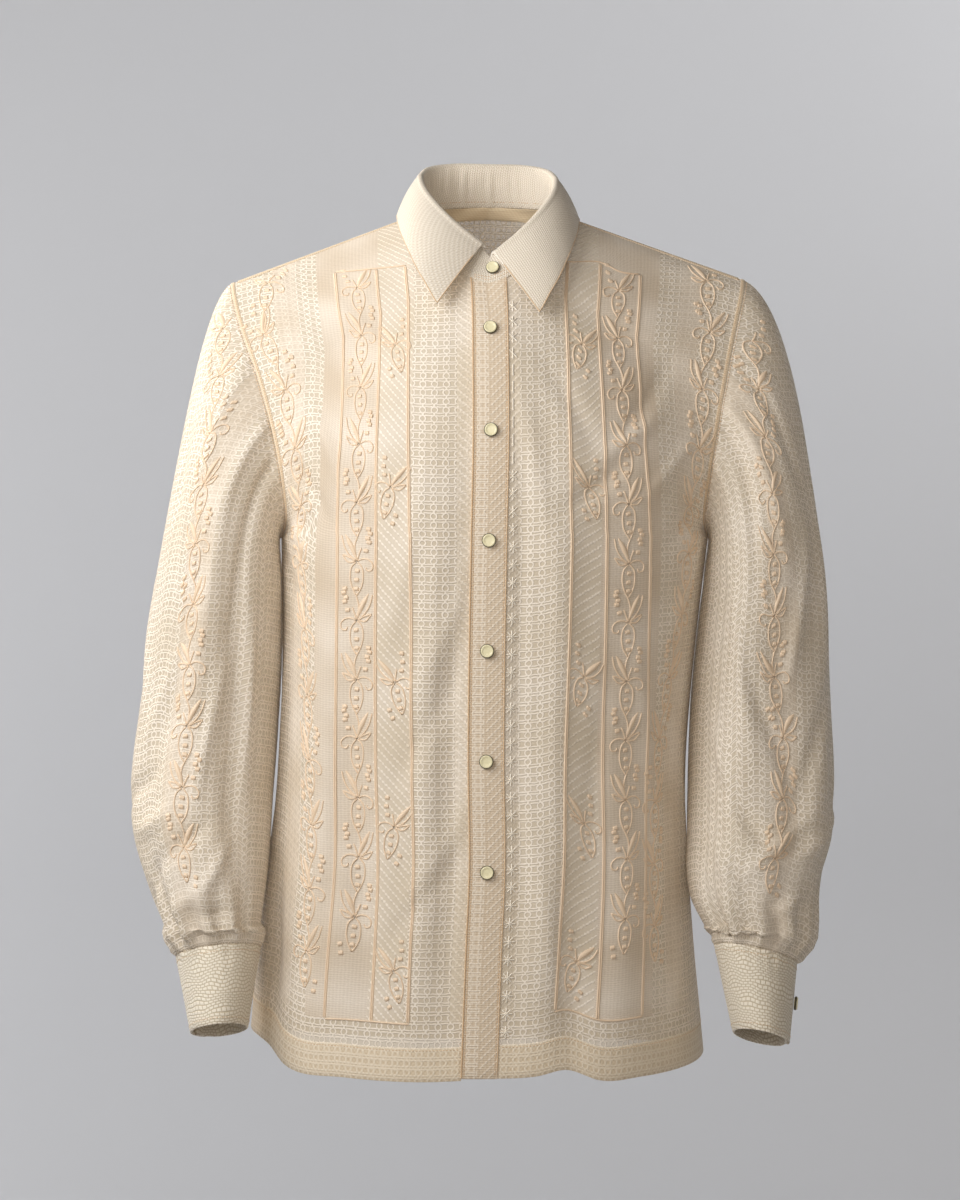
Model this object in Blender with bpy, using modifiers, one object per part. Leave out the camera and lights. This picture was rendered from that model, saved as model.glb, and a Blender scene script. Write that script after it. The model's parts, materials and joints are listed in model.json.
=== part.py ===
"""Barong tagalog shirt, filled out as worn, with nobody in it.

Metres, +Z up, the front of the shirt towards -Y, the wearer's left towards +X.
The origin is on the middle line, level with the points where the neck meets the shoulders.

Each panel is a wall between an outer and an inner grid of points. Its rows run from the middle of the
shirt to the side, and are read from the short tables below. Two panels that meet share one seam line and
the directions on it, so that their rims stay parallel and SEAM_GAP apart.
"""

from math import cos, pi, radians, sin

import bmesh
import bpy
import numpy as np
from mathutils import Vector


def table(columns, rows):
    """A table with named columns: a dictionary that holds one array for each column."""
    return {name: np.array([row[i] for row in rows]) for i, name in enumerate(columns.split())}


# ---------------------------------------------------------------- driving sizes
CLOTH = 0.0012  # the net cloth of fronts, back and sleeves
BAND_CLOTH = 0.0016  # the doubled cloth of placket and button stand
FIRM_CLOTH = 0.0020  # the doubled and interfaced cloth of collar and cuffs
SEAM_GAP = 0.0003  # between two pieces that are sewn together
LAP_CLEARANCE = 0.0002  # more room between the lapped ends of the stand and of a cuff

HEM = -0.766
UNDERARM = -0.288
BODY_CLEARANCE = 0.0020  # between a sleeve and the body's side
ROUNDNESS = 0.62  # of the body's level rows; 0.55 would make them ellipses
SHOULDER_ROUNDNESS = 0.42  # of the rows near the shoulder seam
MIDDLE_FADE = 0.012  # the folds die out over this distance from the middle of the shirt
SIDE_FADE = 0.050  # and over this one from the side seams
BAND_HALF = 0.016  # half the placket's width
BAND_CROWN = 0.0006  # the band's middle above its edges
BAND_PROUD = 0.0006  # the placket's face above the front that it is sewn to
UNDER_INSET = 0.0015  # the button stand's free edge inside the placket's seam
UNDER_DROP = BAND_CLOTH + SEAM_GAP - BAND_PROUD  # how far the right front's edge lies below the left front

NECK_HALF_WIDTH = 0.0705
NECK_HALF_DEPTH = 0.0680
NECK_MIDDLE = -0.0135  # the neck opening's middle, front to back
NECK_FRONT_HEIGHT = -0.0615
NECK_BACK_HEIGHT = 0.0230
NECK_RISE_POWER = 0.62
NECK_SHOULDER_RISE = 0.0075  # the neckline's extra height at the shoulder seams
SHOULDER_ANGLE = radians(105.8)  # round the neck, from the middle of the front to the shoulder seam

LEAF_START = 0.284  # the leaf's front end, as a share of the band's half width from the middle of the front
COLLAR_SKEW = 0.0040  # the left leaf hangs lower than the right one
FOLD_RADIUS = 0.0023  # of the leaf's roll over the stand, at the middle of the cloth
FOLD_RISE = 0.0010  # the leaf's own height between the stand's top and the roll
STAND_END = 0.0155  # how far the stand's ends reach past the middle of the front
UNDER_END_DROP = 0.32  # how much lower the stand's right end is, under the left one, as a share of its height
STAND_CORNER = 0.0090  # the radius of the stand's rounded front corners

CUFF_STEP = radians(7.5)  # the turn between two neighbouring lines of the cuff's faces
CUFF_FIRST = -1  # the outer end, in steps towards the front
CUFF_LAST = 52  # the inner end, one turn and the lap further on
CUFF_PITCH = radians(14)  # the forearm's lean to the front

BUTTON_RADIUS = 0.00575
BUTTON_THICKNESS = 0.0026
COLLAR_BUTTON_X = 0.0035
CUFF_BUTTON_STEP = 1
BUTTON_HEIGHTS = (-0.1034, -0.1950, -0.2925, -0.3900, -0.4875, -0.5850)

# The body, level by level: how far its middle lies from the origin's, and half its width at the side seams.
BODY = table(
    "height centre half_width",
    (
        (-0.766, -0.0100, 0.2080),
        (-0.650, -0.0110, 0.1988),
        (-0.500, -0.0055, 0.1868),
        (-0.400, 0.0000, 0.1890),
        (UNDERARM, 0.0060, 0.1960),
    ),
)
# The middle of the front, from the hem up to the neck.
FRONT_LINE = table(
    "height centre depth",
    (
        (-0.766, -0.0083, -0.1400),
        (-0.650, -0.0040, -0.1320),
        (-0.585, -0.0012, -0.1290),
        (-0.490, -0.0021, -0.1260),
        (-0.390, -0.0012, -0.1255),
        (-0.292, 0.0005, -0.1270),
        (-0.195, 0.0023, -0.1235),
        (-0.130, 0.0020, -0.1120),
        (-0.090, 0.0016, -0.0960),
        (-0.0615, 0.0005, -0.0815),
    ),
)
# The middle of the back, from the hem up to the neck.
BACK_LINE = table(
    "height depth",
    (
        (-0.766, 0.1330),
        (-0.650, 0.1230),
        (-0.500, 0.1130),
        (-0.400, 0.1135),
        (-0.288, 0.1190),
        (-0.200, 0.1240),
        (-0.130, 0.1200),
        (-0.060, 0.1030),
        (-0.010, 0.0800),
        (0.0230, 0.0545),
    ),
)
# The armhole seam on the left side, from the underarm up the front to the shoulder's tip.
ARMHOLE_FRONT = table(
    "x y z",
    (
        (0.1960, 0.0000, -0.288),
        (0.1905, -0.0360, -0.272),
        (0.1945, -0.0560, -0.230),
        (0.2030, -0.0570, -0.183),
        (0.2150, -0.0460, -0.133),
        (0.2265, -0.0290, -0.096),
        (0.2345, -0.0110, -0.0665),
        (0.2365, 0.0020, -0.0570),
    ),
)
# The same seam up the back.
ARMHOLE_BACK = table(
    "x y z",
    (
        (0.1960, 0.0000, -0.288),
        (0.1935, 0.0380, -0.272),
        (0.1985, 0.0620, -0.225),
        (0.2080, 0.0640, -0.175),
        (0.2195, 0.0530, -0.128),
        (0.2300, 0.0330, -0.088),
        (0.2352, 0.0150, -0.0645),
        (0.2365, 0.0020, -0.0570),
    ),
)
# How far the armholes and the chest lie to the wearer's left of the middle.
ARMHOLE_SHIFT = table(
    "height shift",
    ((UNDERARM, 0.0060), (-0.22, 0.0065), (-0.15, 0.0040), (-0.09, 0.0), (-0.05, 0.0)),
)
# How much higher the shoulder's tip lies than in the armhole's tables, and how each sleeve hangs from it: how
# full its head is and how far its outer line leans in, both as shares of the sleeve's length below it.
SHOULDER = {
    -1: {"lift": 0.0035, "full": 0.10, "lean": 0.18},
    1: {"lift": 0.0065, "full": 0.16, "lean": 0.10},
}
SHOULDER_LIFT_FROM = -0.140  # the height where the lift starts

# The sleeves below the underarm: outermost and innermost reach of each, and the depth of the middle.
SLEEVE_COLUMNS = "height outer inner middle half_depth"
SLEEVE = {
    -1: table(
        SLEEVE_COLUMNS,
        (
            (-0.332, 0.3060, 0.1850, -0.010, 0.0760),
            (-0.372, 0.3110, 0.1860, -0.007, 0.0790),
            (-0.412, 0.3155, 0.1880, -0.006, 0.0810),
            (-0.450, 0.3205, 0.1910, -0.008, 0.0820),
            (-0.488, 0.3250, 0.1935, -0.014, 0.0825),
            (-0.526, 0.3265, 0.1960, -0.023, 0.0820),
            (-0.562, 0.3215, 0.1975, -0.035, 0.0800),
            (-0.592, 0.3115, 0.1995, -0.046, 0.0760),
            (-0.616, 0.3010, 0.2020, -0.056, 0.0690),
            (-0.636, 0.2905, 0.2045, -0.064, 0.0600),
        ),
    ),
    1: table(
        SLEEVE_COLUMNS,
        (
            (-0.332, 0.3085, 0.1950, -0.010, 0.0760),
            (-0.372, 0.3120, 0.1900, -0.007, 0.0790),
            (-0.412, 0.3135, 0.1860, -0.006, 0.0810),
            (-0.450, 0.3150, 0.1835, -0.008, 0.0820),
            (-0.488, 0.3165, 0.1820, -0.014, 0.0825),
            (-0.526, 0.3160, 0.1810, -0.023, 0.0820),
            (-0.562, 0.3120, 0.1800, -0.035, 0.0800),
            (-0.592, 0.3020, 0.1790, -0.046, 0.0760),
            (-0.616, 0.2955, 0.1830, -0.056, 0.0690),
            (-0.638, 0.2925, 0.1940, -0.064, 0.0600),
        ),
    ),
}
# Each cuff: the middle of its top and bottom rims, how far its outer side hangs lower, and how many steps its
# lap is turned from the outer side towards the back.
CUFF = {
    -1: {"top": (-0.2422, -0.073, -0.6615), "foot": (-0.24, -0.092, -0.728), "roll": radians(7), "turned": 6},
    1: {"top": (0.24, -0.073, -0.664), "foot": (0.2432, -0.092, -0.7345), "roll": radians(13), "turned": 0},
}
CUFF_TOP_HALF = (0.0380, 0.0440)  # half width and half depth at the top rim
CUFF_FOOT_HALF = (0.0260, 0.0470)  # and at the bottom rim

# The collar, from its front end round to the middle of the back: the angle round the neck, the line of the
# fold, and the leaf's lower edge.
COLLAR = table(
    "angle fold_x fold_y fold_z edge_x edge_y edge_z",
    (
        (3.7, 0.0048, -0.0700, -0.0278, 0.0458, -0.1010, -0.0850),
        (12.9, 0.0135, -0.0692, -0.0210, 0.0500, -0.0980, -0.0775),
        (20.5, 0.0216, -0.0676, -0.0145, 0.0555, -0.0935, -0.0670),
        (33.0, 0.0343, -0.0627, -0.0027, 0.0640, -0.0840, -0.0515),
        (44.0, 0.0443, -0.0556, 0.0081, 0.0715, -0.0690, -0.0340),
        (63.7, 0.0568, -0.0381, 0.0256, 0.0785, -0.0450, -0.0150),
        (88.0, 0.0617, -0.0120, 0.0408, 0.0822, -0.0170, 0.0000),
        (110.0, 0.0612, 0.0120, 0.0485, 0.0820, 0.0120, 0.0095),
        (125.6, 0.0558, 0.0300, 0.0559, 0.0735, 0.0360, 0.0125),
        (137.0, 0.0467, 0.0400, 0.0596, 0.0600, 0.0540, 0.0140),
        (148.6, 0.0345, 0.0465, 0.0619, 0.0425, 0.0655, 0.0150),
        (180.0, 0.0000, 0.0500, 0.0628, 0.0000, 0.0725, 0.0155),
    ),
)

# The largest folds, as soft ridges (depth above nought) and troughs. distance: from the middle of the front
# or back along the cloth. low, high: the heights where it fades out. lean: how far it drifts sideways a metre.
FOLD_COLUMNS = "side distance width depth low high lean"
FRONT_FOLDS = table(
    FOLD_COLUMNS,
    (
        (-1, 0.034, 0.014, -0.0035, -0.80, -0.25, 0.00),
        (-1, 0.060, 0.017, 0.0040, -0.80, -0.15, -0.03),
        (-1, 0.092, 0.015, -0.0050, -0.80, -0.35, 0.10),
        (-1, 0.150, 0.024, 0.0045, -0.80, -0.18, 0.00),
        (-1, 0.205, 0.013, -0.0110, -0.82, -0.52, 0.05),
        (1, 0.026, 0.010, -0.0030, -0.80, -0.12, 0.00),
        (1, 0.052, 0.016, 0.0050, -0.80, -0.10, 0.03),
        (1, 0.088, 0.016, -0.0100, -0.84, -0.58, -0.05),
        (1, 0.128, 0.020, 0.0050, -0.82, -0.45, 0.00),
        (1, 0.175, 0.017, -0.0045, -0.80, -0.30, 0.05),
    ),
)
BACK_FOLDS = table(
    FOLD_COLUMNS,
    (
        (-1, 0.045, 0.018, -0.0055, -0.84, -0.30, 0.05),
        (-1, 0.095, 0.022, 0.0060, -0.82, -0.35, 0.00),
        (-1, 0.150, 0.018, -0.0070, -0.84, -0.45, -0.06),
        (1, 0.020, 0.018, 0.0050, -0.82, -0.40, 0.05),
        (1, 0.075, 0.020, -0.0065, -0.84, -0.35, -0.03),
        (1, 0.130, 0.022, 0.0060, -0.80, -0.25, 0.04),
        (1, 0.180, 0.016, -0.0050, -0.82, -0.50, 0.00),
    ),
)
# The sleeves' folds. angle: round the arm in degrees, 0 at the outer side, 90 at the front, 180 inside.
SLEEVE_FOLDS = table(
    "side angle width depth low high lean",
    (
        (-1, 45, 14, -0.0045, -0.66, -0.36, 120),
        (-1, 80, 13, 0.0050, -0.62, -0.20, 60),
        (-1, 118, 12, -0.0060, -0.64, -0.30, -60),
        (-1, 262, 16, -0.0060, -0.66, -0.32, -90),
        (-1, 310, 16, 0.0050, -0.62, -0.30, 80),
        (1, 38, 13, 0.0045, -0.62, -0.26, -80),
        (1, 72, 13, -0.0055, -0.66, -0.34, 70),
        (1, 110, 13, 0.0050, -0.62, -0.22, -50),
        (1, 250, 16, 0.0055, -0.64, -0.32, 80),
        (1, 300, 16, -0.0060, -0.66, -0.36, -90),
    ),
)
# The hem's rise above its lowest level, by the distance from the middle of the front.
HEM_RISE = {
    -1: table(
        "distance rise",
        ((0.0, 0.0), (0.05, -0.002), (0.12, 0.0), (0.185, 0.006), (0.215, 0.023), (0.26, 0.030), (0.30, 0.032)),
    ),
    1: table(
        "distance rise",
        ((0.0, 0.001), (0.05, 0.003), (0.078, 0.008), (0.108, -0.002), (0.15, -0.001), (0.22, 0.004), (0.3, 0.012)),
    ),
}

# ---------------------------------------------------------------- how finely each piece is cut into faces
ROWS_BELOW = 8  # rows between hem and underarm
ROWS_ABOVE = 12  # rows between underarm and shoulder
NECK_ROWS_FRONT = 5  # of those, the rows that start on the neckline
NECK_ROWS_BACK = 4
PANEL_COLUMNS = 14  # from the middle of the shirt to the side
CAP_RINGS = 6  # of the sleeve, between the armhole and the underarm's level
SLEEVE_POINTS = 4 * ROWS_ABOVE  # round the sleeve
GATHERS = ROWS_ABOVE  # soft gathers where the sleeve meets its cuff
GATHER_DEPTH = 0.0038

MIDDLE_PLACE = 2  # the middle of the front among the neck seam's points, which start at the stand's left end
BAND_PLACE = MIDDLE_PLACE + 2  # the placket's left edge among them

SIDE_NAMES = {-1: "right", 1: "left"}


# ---------------------------------------------------------------- curves
def smooth(place, places, values):
    """Reads a smooth curve through a table's points. places must rise."""
    values = np.asarray(values, dtype=float)
    slopes = np.gradient(values, places, axis=0)
    place = np.clip(np.asarray(place, dtype=float), places[0], places[-1])
    i = np.clip(np.searchsorted(places, place) - 1, 0, len(places) - 2)
    width = places[i + 1] - places[i]
    t = (place - places[i]) / width
    if values.ndim > 1:
        t = t[..., None]
        width = width[..., None]
    start = (1 + 2 * t) * (1 - t) ** 2 * values[i] + t * (1 - t) ** 2 * width * slopes[i]
    return start + t**2 * (3 - 2 * t) * values[i + 1] + t**2 * (t - 1) * width * slopes[i + 1]


def unit(vectors):
    return vectors / np.maximum(np.linalg.norm(vectors, axis=-1, keepdims=True), 1e-12)


def even_out(points, count):
    """The same curve as count + 1 points, spaced evenly along it."""
    steps = np.linalg.norm(np.diff(points, axis=0), axis=1)
    travelled = np.concatenate(([0.0], np.cumsum(steps)))
    wanted = np.linspace(0, travelled[-1], count + 1)
    return np.stack([np.interp(wanted, travelled, points[:, k]) for k in range(3)], axis=1)


def tangents(points, closed=False):
    """The direction of travel at each point of a line."""
    if closed:
        return unit(np.roll(points, -1, axis=0) - np.roll(points, 1, axis=0))
    return unit(np.gradient(points, axis=0))


def fade(place, low, high, margin):
    """1 well inside low..high, falling softly to 0 over a margin at each end."""
    rising = np.clip((place - low) / margin, 0, 1)
    falling = np.clip((high - place) / margin, 0, 1)
    inside = np.minimum(rising, falling)
    return inside**2 * (3 - 2 * inside)


# ---------------------------------------------------------------- seam lines of the body
def neck_point(angle):
    """The neckline's point at an angle round the neck, from the middle of the front (0) to the back (pi)."""
    turn = (1 - cos(angle)) / 2
    height = NECK_FRONT_HEIGHT + (NECK_BACK_HEIGHT - NECK_FRONT_HEIGHT) * turn**NECK_RISE_POWER
    height += NECK_SHOULDER_RISE * np.exp(-(((angle - SHOULDER_ANGLE) / 0.6) ** 2))
    return np.array((NECK_HALF_WIDTH * sin(angle), NECK_MIDDLE - NECK_HALF_DEPTH * cos(angle), height))


def front_middle(height):
    centre = float(smooth(height, FRONT_LINE["height"], FRONT_LINE["centre"]))
    depth = float(smooth(height, FRONT_LINE["height"], FRONT_LINE["depth"]))
    return centre, depth


def back_depth(height):
    return float(smooth(height, BACK_LINE["height"], BACK_LINE["depth"]))


BAND_ANGLE = float(np.arcsin(BAND_HALF / NECK_HALF_WIDTH))


def armhole_line(side, face):
    """The armhole seam from the underarm to the shoulder's tip, evenly spaced."""
    seam = ARMHOLE_FRONT if face < 0 else ARMHOLE_BACK
    points = np.stack((seam["x"], seam["y"], seam["z"]), axis=1)
    steps = np.concatenate(([0.0], np.cumsum(np.linalg.norm(np.diff(points, axis=0), axis=1))))
    fine = smooth(np.linspace(0, steps[-1], 120), steps, points)
    line = even_out(fine, ROWS_ABOVE)
    shift = smooth(line[:, 2], ARMHOLE_SHIFT["height"], ARMHOLE_SHIFT["shift"])
    line[:, 0] = side * line[:, 0] + shift
    share = np.clip((line[:, 2] - SHOULDER_LIFT_FROM) / (line[-1, 2] - SHOULDER_LIFT_FROM), 0, 1)
    line[:, 2] += SHOULDER[side]["lift"] * share**2
    return line


def inner_line(side, face):
    """Where the rows above the underarm start: up the middle of the shirt, then along the neckline."""
    if face < 0:
        corner = neck_point(BAND_ANGLE)
        neck_rows, first_angle = NECK_ROWS_FRONT, BAND_ANGLE
    else:
        corner = neck_point(pi)
        neck_rows, first_angle = NECK_ROWS_BACK, pi
    rows = []
    for height in np.linspace(UNDERARM, corner[2], ROWS_ABOVE - neck_rows + 1):
        if face < 0:
            centre, depth = front_middle(height)
            rows.append((centre + side * BAND_HALF, depth, height))
        else:
            rows.append((body_centre(height), back_depth(height), height))
    rows.pop()
    for angle in np.linspace(first_angle, SHOULDER_ANGLE, neck_rows + 1):
        x, y, z = neck_point(angle)
        rows.append((side * x, y, z))
    return np.array(rows)


def body_centre(height):
    """How far the body's middle lies from the origin's at a height."""
    if height <= UNDERARM:
        return float(smooth(height, BODY["height"], BODY["centre"]))
    return float(smooth(height, ARMHOLE_SHIFT["height"], ARMHOLE_SHIFT["shift"]))


def body_side(height):
    return float(smooth(height, BODY["height"], BODY["half_width"]))


# ---------------------------------------------------------------- body panels
def row_points(start, end, start_way, end_way, start_pull, end_pull):
    """A row of a panel as a fine curve that leaves start along start_way and reaches end along end_way."""
    s = np.linspace(0, 1, 160)[:, None]
    first = start + start_way * start_pull
    second = end - end_way * end_pull
    return (1 - s) ** 3 * start + 3 * (1 - s) ** 2 * s * first + 3 * (1 - s) * s**2 * second + s**3 * end


def below_row(side, face, height):
    """A row between hem and underarm, and how far along the cloth from the middle it starts."""
    if face < 0:
        centre, depth = front_middle(height)
        start = np.array((centre + side * BAND_HALF, depth, height))
    else:
        start = np.array((body_centre(height), back_depth(height), height))
    end = np.array((body_centre(height) + side * body_side(height), 0.0, height))
    across = abs(end[0] - start[0])
    deep = abs(start[1])
    return row_points(
        start, end, np.array((side, 0, 0)), np.array((0.0, -face, 0)), ROUNDNESS * across, ROUNDNESS * deep
    )


def above_row(side, face, start, end, level):
    """A row between underarm and shoulder. level is 0 at the underarm and 1 at the shoulder seam."""
    chord = end - start
    length = np.linalg.norm(chord)
    straight = level**1.5
    turned = min(1.0, level * 1.9) ** 0.8
    start_way = unit(np.array((side, 0.0, 0.0)) * (1 - straight) + unit(chord) * straight)
    end_way = unit(np.array((0.0, -face, 0.0)) * (1 - turned) + unit(chord) * turned)
    roundness = ROUNDNESS * (1 - turned) + SHOULDER_ROUNDNESS * turned
    start_pull = (1 - straight) * roundness * abs(chord[0]) + straight * length / 3
    end_pull = (1 - turned) * roundness * abs(start[1]) + turned * length / 3
    return row_points(start, end, start_way, end_way, start_pull, end_pull)


def fold_depth(folds, side, distance, height):
    """How far the folds lift the cloth at a distance from the middle and a height."""
    lift = np.zeros_like(distance)
    for i in range(len(folds["side"])):
        if folds["side"][i] != side:
            continue
        low, high = folds["low"][i], folds["high"][i]
        middle = folds["distance"][i] + folds["lean"][i] * (height - low)
        shape = np.exp(-(((distance - middle) / folds["width"][i]) ** 2))
        lift += folds["depth"][i] * shape * fade(height, low, high, 0.22)
    return lift


def body_row(side, face, row):
    """One row of a quarter of the body as evenly spaced points, with its folds, and its distances."""
    if row <= ROWS_BELOW:
        height = HEM + (UNDERARM - HEM) * row / ROWS_BELOW
        line = below_row(side, face, height)
    else:
        k = row - ROWS_BELOW
        line = above_row(side, face, inner_line(side, face)[k], armhole_line(side, face)[k], k / ROWS_ABOVE)
    points = even_out(line, PANEL_COLUMNS)
    start = BAND_HALF if face < 0 else 0.0
    steps = np.linalg.norm(np.diff(points, axis=0), axis=1)
    distance = start + np.concatenate(([0.0], np.cumsum(steps)))
    if row > ROWS_BELOW:
        distance = distance - start + abs(points[0, 0])
    folds = FRONT_FOLDS if face < 0 else BACK_FOLDS
    lift = fold_depth(folds, side, distance, points[:, 2])
    lift *= np.clip((distance[-1] - distance) / SIDE_FADE, 0, 1)
    lift *= np.clip((distance - distance[0]) / MIDDLE_FADE, 0, 1)
    away = unit(np.cross(np.gradient(points, axis=0), (0, 0, side * -face)))
    away[:, 2] = 0
    points = points + unit(away) * lift[:, None]
    if row < ROWS_BELOW:
        share = (1 - row / ROWS_BELOW) ** 3
        rise = HEM_RISE[side]
        if face < 0:
            points[:, 2] += share * smooth(distance, rise["distance"], rise["rise"])
        else:
            at_side = float(smooth(0.30, rise["distance"], rise["rise"]))
            points[:, 2] += share * at_side * (distance / distance[-1]) ** 2
    return points


def quarter(side, face):
    """The outer points of a quarter of the body: rows from hem to shoulder, columns from middle to side."""
    return np.array([body_row(side, face, row) for row in range(ROWS_BELOW + ROWS_ABOVE + 1)])


def grid_normals(grid, outward, closed=False):
    """The direction away from the body at each point of a grid."""
    if closed:
        along = np.roll(grid, -1, axis=1) - np.roll(grid, 1, axis=1)
    else:
        along = np.gradient(grid, axis=1)
    up = np.gradient(grid, axis=0)
    normals = unit(np.cross(along, up))
    return normals * np.sign(np.sum(normals * outward, axis=-1, keepdims=True).mean())


def sewn(points, here, there, inside, closed=False):
    """A seam's directions: out of the cloth, and across it, away from the piece whose points are inside."""
    out = unit(here + there)
    across = unit(np.cross(out, tangents(points, closed)))
    facing = np.sign(np.sum(across * (points - inside), axis=1, keepdims=True))
    return out, across * np.where(facing == 0, 1, facing)


# ---------------------------------------------------------------- solids
def collection_named(name):
    made = bpy.data.collections.new(name)
    bpy.context.scene.collection.children.link(made)
    return made


def cloth_material(name, colour, roughness):
    material = bpy.data.materials.new(name)
    material.use_nodes = True
    shader = material.node_tree.nodes["Principled BSDF"]
    shader.inputs["Base Color"].default_value = (*colour, 1)
    shader.inputs["Roughness"].default_value = roughness
    shader.inputs["Metallic"].default_value = 0.0
    return material


def add_wall(built, outer, inner, closed, joined_rows):
    """Adds the faces of one wall: two sheets and the rims that close them. Its first column has no rim below
    joined_rows, where the other half of a piece meets it."""
    rows, columns = outer.shape[:2]
    sheets = [[[built.verts.new(point) for point in row] for row in grid] for grid in (outer, inner)]
    last = columns if closed else columns - 1
    for sheet in sheets:
        for i in range(rows - 1):
            for j in range(last):
                k = (j + 1) % columns
                built.faces.new((sheet[i][j], sheet[i][k], sheet[i + 1][k], sheet[i + 1][j]))
    edges = []
    for i in (0, rows - 1):
        edges += [((i, j), (i, (j + 1) % columns)) for j in range(last)]
    if not closed:
        edges += [((i, 0), (i + 1, 0)) for i in range(joined_rows, rows - 1)]
        edges += [((i, columns - 1), (i + 1, columns - 1)) for i in range(rows - 1)]
    for (a, b), (c, d) in edges:
        built.faces.new((sheets[0][a][b], sheets[0][c][d], sheets[1][c][d], sheets[1][a][b]))


def wall(name, halves, material, closed=False, joined_rows=0):
    """A piece of cloth: a wall, or two walls that share their first column below joined_rows."""
    mesh = bpy.data.meshes.new(name)
    built = bmesh.new()
    for outer, inner in halves:
        add_wall(built, outer, inner, closed, joined_rows)
    if joined_rows:
        bmesh.ops.remove_doubles(built, verts=built.verts, dist=1e-6)
    bmesh.ops.recalc_face_normals(built, faces=built.faces)
    built.to_mesh(mesh)
    built.free()
    piece = bpy.data.objects.new(name, mesh)
    mesh.materials.append(material)
    mesh.shade_smooth()
    mesh.set_sharp_from_angle(angle=radians(40))
    SHIRT.objects.link(piece)
    return piece


# ---------------------------------------------------------------- sleeves
def body_reach(side, height, depth):
    """How far the body's side reaches at a height and a depth, from the middle of the frame."""
    reach = []
    for face in (-1, 1):
        line = below_row(side, face, height)
        order = np.argsort(line[:, 1])
        reach.append(np.interp(depth, line[order, 1], side * line[order, 0], left=0.0, right=0.0))
    return np.maximum(reach[0], reach[1])


def sleeve_ring(side, row):
    """The level ring of a sleeve at a row of its table, from the outer side over the front."""
    section = SLEEVE[side]
    angles = np.linspace(0, 2 * pi, SLEEVE_POINTS, endpoint=False)
    half = (section["outer"][row] - section["inner"][row]) / 2
    middle = (section["outer"][row] + section["inner"][row]) / 2
    x = middle + half * np.cos(angles)
    y = section["middle"][row] - section["half_depth"][row] * np.sin(angles)
    height = section["height"][row]
    return np.stack((side * x, y, np.full_like(x, height)), axis=1)


def keep_clear(ring, side):
    """Moves the points of a sleeve that would reach the body's side out of it."""
    clear = ring.copy()
    for k, (x, y, z) in enumerate(ring):
        if z > UNDERARM:
            continue
        nearest = body_reach(side, z, y) + BODY_CLEARANCE * min(1.0, (UNDERARM - z) / 0.03 + 0.25)
        clear[k, 0] = side * max(side * x, nearest)
    return clear


def cuff_ring(side, share, angles, inward=0.0):
    """Points round a cuff, a share of the way from its top rim to its foot, and the directions out of it."""
    cuff = CUFF[side]
    middle = np.array(cuff["top"]) * (1 - share) + np.array(cuff["foot"]) * share
    half_width = CUFF_TOP_HALF[0] * (1 - share) + CUFF_FOOT_HALF[0] * share
    half_depth = CUFF_TOP_HALF[1] * (1 - share) + CUFF_FOOT_HALF[1] * share
    wide_way = np.array((side * cos(cuff["roll"]), 0, -sin(cuff["roll"])))
    deep_way = np.array((0, -cos(CUFF_PITCH), sin(CUFF_PITCH)))
    across, forward = np.cos(angles), np.sin(angles)
    out = unit(np.outer(across * half_depth, wide_way) + np.outer(forward * half_width, deep_way))
    ring = middle + np.outer(across * half_width, wide_way) + np.outer(forward * half_depth, deep_way)
    return ring - out * np.reshape(inward, (-1, 1)), out


def cuff_axis(side):
    """The direction up a cuff, square to its rims."""
    cuff = CUFF[side]
    wide = np.array((side * cos(cuff["roll"]), 0, -sin(cuff["roll"])))
    deep = np.array((0, -cos(CUFF_PITCH), sin(CUFF_PITCH)))
    axis = unit(np.cross(wide, deep))
    return axis * np.sign(axis[2])


def armhole_ring(front, back):
    """The armhole seam as one ring, from the shoulder's tip down the front, under the arm and up the back."""
    corners = np.concatenate((front[::-1], back[1:-1]))
    halfway = (corners + np.roll(corners, -1, axis=0)) / 2
    return np.stack((corners, halfway), axis=1).reshape(-1, 3)


def sleeve_grid(side, seam):
    """The outer points of a sleeve: rings from the armhole seam down to the cuff."""
    start = keep_clear(sleeve_ring(side, 0), side)
    angles = np.linspace(0, 2 * pi, SLEEVE_POINTS, endpoint=False)
    reach = np.linalg.norm(start - seam, axis=1, keepdims=True)
    outward = side * (0.80 + 0.12 * np.cos(angles))
    way = unit(np.stack((outward, -0.30 * np.sin(angles), -0.48 + 0.05 * np.cos(angles)), axis=1))
    outer = np.clip(np.cos(angles), 0, 1)[:, None] ** 2
    full = 0.20 * (1 - outer) + SHOULDER[side]["full"] * outer
    up = np.array((0, 0, 1.0)) - outer * (side * SHOULDER[side]["lean"], 0, 0)
    rings = [seam]
    for k in range(1, CAP_RINGS + 1):
        t = (k / CAP_RINGS) ** 1.1
        first = seam + way * reach * full
        second = start + up * reach * 0.42
        ring = (1 - t) ** 3 * seam + 3 * (1 - t) ** 2 * t * first + 3 * (1 - t) * t**2 * second + t**3 * start
        rings.append(keep_clear(ring, side))
    for row in range(1, len(SLEEVE[side]["height"])):
        rings.append(keep_clear(sleeve_ring(side, row), side))
    top, out = cuff_ring(side, 0.0, angles)
    above = top + cuff_axis(side) * SEAM_GAP
    rings.append(above + cuff_axis(side) * 0.006 + out * 0.0025)
    rings.append(above)
    return np.array(rings)


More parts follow.
